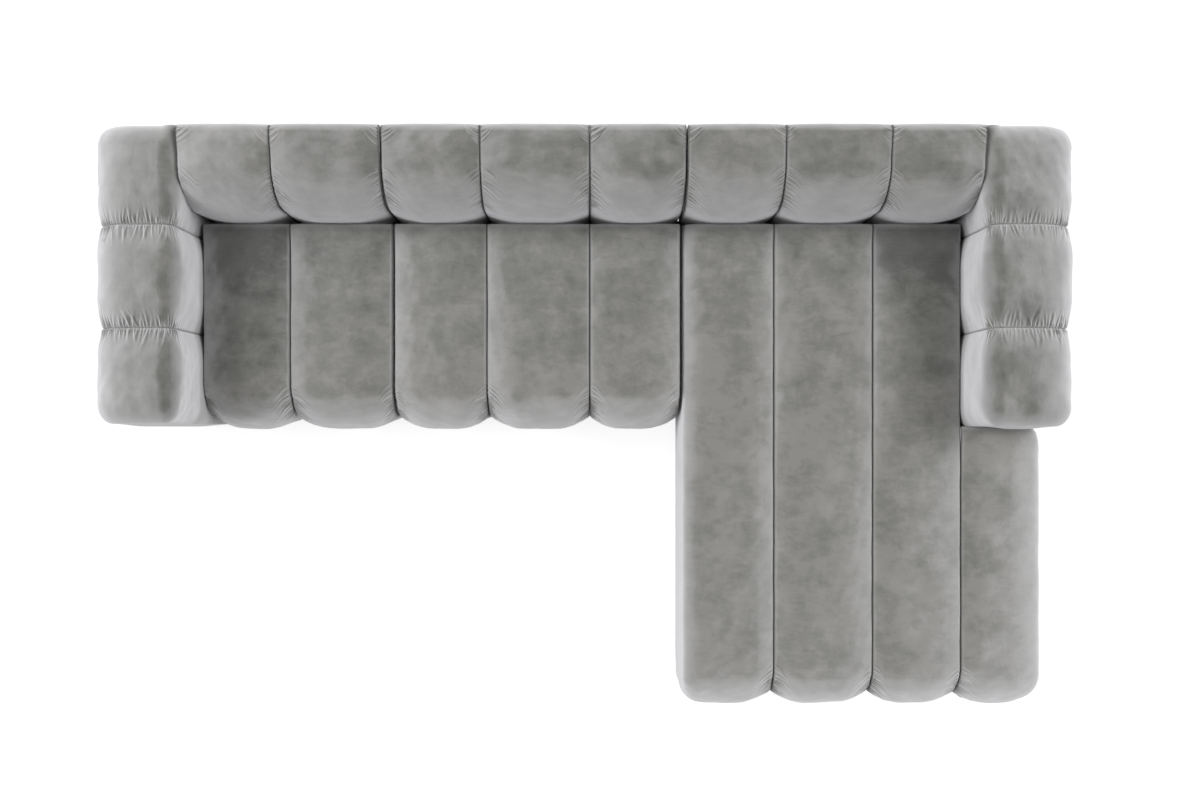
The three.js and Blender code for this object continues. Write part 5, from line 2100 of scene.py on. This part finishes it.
@dataclass(frozen=True)
class Studio:
    """The floor, the light and the camera.

    Attributes:
        eye, clip: the camera's place, and the furthest that it sees.
        picture, focal_pixels, axis_pixels: the photograph's size, its focal length, and where the line
            of sight meets it, in pixels.
        floor_matt, floor_glow, floor_plain: how much light the floor gives back to the camera, how much
            it glows towards it, and how much light it gives back to the sofa.
    """

    eye: tuple[float, float, float] = (0.018, 0.0005, 4.786)
    picture: tuple[int, int] = (1200, 800)
    focal_pixels: float = 1249.0
    axis_pixels: Pair = (590.0, 426.5)
    sensor: float = 36.0
    clip: float = 200.0
    floor_half: float = 40.0
    floor_matt: float = 0.24
    floor_glow: float = 0.86
    floor_plain: float = 0.8
    sky: float = 0.20
    side_lamps: tuple[SideLamp, ...] = (
        SideLamp("soft_left", 2.00, 44, 171),
        SideLamp("soft_right", 1.80, 44, 11),
    )

    def camera(self) -> None:
        """Looks straight down, with the top of the picture towards +Y."""
        data = bpy.data.cameras.new("camera")
        width, height = self.picture
        data.sensor_width = self.sensor
        data.lens = data.sensor_width * self.focal_pixels / width
        data.shift_x = (width / 2 - self.axis_pixels[0]) / width
        data.shift_y = (self.axis_pixels[1] - height / 2) / width
        data.clip_end = self.clip
        camera = bpy.data.objects.new("camera", data)
        camera.location = self.eye
        bpy.context.scene.collection.objects.link(camera)
        bpy.context.scene.camera = camera

    def floor(self) -> None:
        """A white floor that shows white and keeps a faint shadow."""
        h = self.floor_half
        corners = np.array([(-h, -h, 0), (h, -h, 0), (h, h, 0), (-h, h, 0)])
        floor = new_object("floor", corners, [(0, 1, 2, 3)])
        material = bpy.data.materials.new("floor_white")
        material.use_nodes = True
        nodes, tree = Nodes(material.node_tree), material.node_tree
        tree.nodes.remove(tree.nodes["Principled BSDF"])
        matt, plain = (
            nodes.add("BsdfDiffuse", {"Color": (grey, grey, grey, 1)})[0]
            for grey in (self.floor_matt, self.floor_plain)
        )
        glow = nodes.add("Emission", {"Color": WHITE, "Strength": self.floor_glow})[0]
        both = nodes.add("AddShader", (matt, glow))[0]
        pick = nodes.add("MixShader", (nodes.add("LightPath")["Is Camera Ray"], plain, both))[0]
        nodes.feed(pick, tree.nodes["Material Output"].inputs["Surface"])
        floor.data.materials.append(material)

    def world(self) -> None:
        """An even pale sky, which shows as white."""
        world = bpy.data.worlds.new("studio")
        bpy.context.scene.world = world
        world.use_nodes = True
        nodes, tree = Nodes(world.node_tree), world.node_tree
        sky = tree.nodes["Background"]
        sky.inputs["Color"].default_value = WHITE
        sky.inputs["Strength"].default_value = self.sky
        white = nodes.add("Background", {"Strength": 1.0})[0]
        path = nodes.add("LightPath")
        sharp = nodes.math("MAXIMUM", path["Is Camera Ray"], path["Is Glossy Ray"])
        pick = nodes.add("MixShader", (sharp, sky.outputs[0], white))[0]
        nodes.feed(pick, tree.nodes["World Output"].inputs["Surface"])

    def build(self) -> None:
        """Sets up all of it."""
        self.camera()
        self.floor()
        self.world()
        for lamp in self.side_lamps:
            lamp.build()
        bpy.context.scene.view_settings.view_transform = "Standard"


def dress(channel: Channel, settling: Settling, material: Material) -> None:
    """Builds a channel and puts it in the place of its node.

    Args:
        channel: the channel.
        settling: how the covers settled.
        material: its cover.
    """
    piece = channel.build(settling)
    piece.data.materials.append(material)
    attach(piece, channel.body)
    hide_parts(channel.node)
    log.info("%s: %d faces", piece.name, len(piece.data.polygons))


def all_channels() -> list[Channel]:
    """Every channel of the sofa: seats, backs and arms, each from the left section to the chaise."""
    left, middle, chaise = Section("left"), Section("middle"), Section("chaise")
    # The seats' piles give painted shade before the back and beside the arms, and painted light at the front
    # edge; their leans steer the painted sheen.
    paddings = (
        SeatPadding(
            left,
            2,
            leans=(0.12, 0.09),
            pile=PileAndPaintedLight(shaded_rear=0.060, lit_front=0.036),
            wall_channel=1,
            wall=(-1.338, -0.55, 0.12),
        ),
        SeatPadding(
            middle,
            3,
            leans=(-0.11, -0.10, 0.0),
            pile=PileAndPaintedLight(tone_and_painted_light=0.024, shaded_rear=0.060, lit_front=0.046),
        ),
        SeatPadding(
            chaise,
            4,
            leans=(-0.08, -0.13, -0.26, -0.2),
            front_leans=(0.03, 0.0, 0.0, 0.02),
            pile=PileAndPaintedLight(tone_and_painted_light=0.066, shaded_rear=0.105),
            wall_channel=3,
            wall=(1.317, 0.75, 0.135),
            outer_heel=(0.034, 0.080),
            free_start=ChannelEnd(Finish.EDGE, width=0.070, drop=0.055, bulge=0.008, inset=0.004),
            free_finish=ChannelEnd(Finish.EDGE, width=0.120, drop=0.062, bulge=0.008, inset=0.008),
        ),
        BackPadding(left, 2),
        BackPadding(middle, 3),
        BackPadding(chaise, 3),
    )
    # The arms' covers are painted a little darker, and their leans steer the painted sheen.
    arms = (
        ArmPadding(left, -1, base_runs_on=False, pile=PileAndPaintedLight((-0.10, 0.0), tone_and_painted_light=-0.028)),
        ArmPadding(chaise, 1, base_runs_on=True, pile=PileAndPaintedLight((0.01, 0.0), tone_and_painted_light=-0.044)),
    )
    channels = [padding.channel(number) for padding in paddings for number in range(1, padding.count + 1)]
    return channels + [arm.channel(place) for arm in arms for place in ("rear", "middle", "front")]


def main() -> None:
    """Builds the studio and every piece of the sofa in order."""
    logging.basicConfig(level=logging.INFO, format="%(message)s")
    Studio().build()
    velvet = Velvet().build()
    channels = all_channels()
    Structure().dress()
    settling = Settling()
    settling.run(channels)
    for channel in channels:
        dress(channel, settling, velvet)


if __name__ == "__main__":
    main()
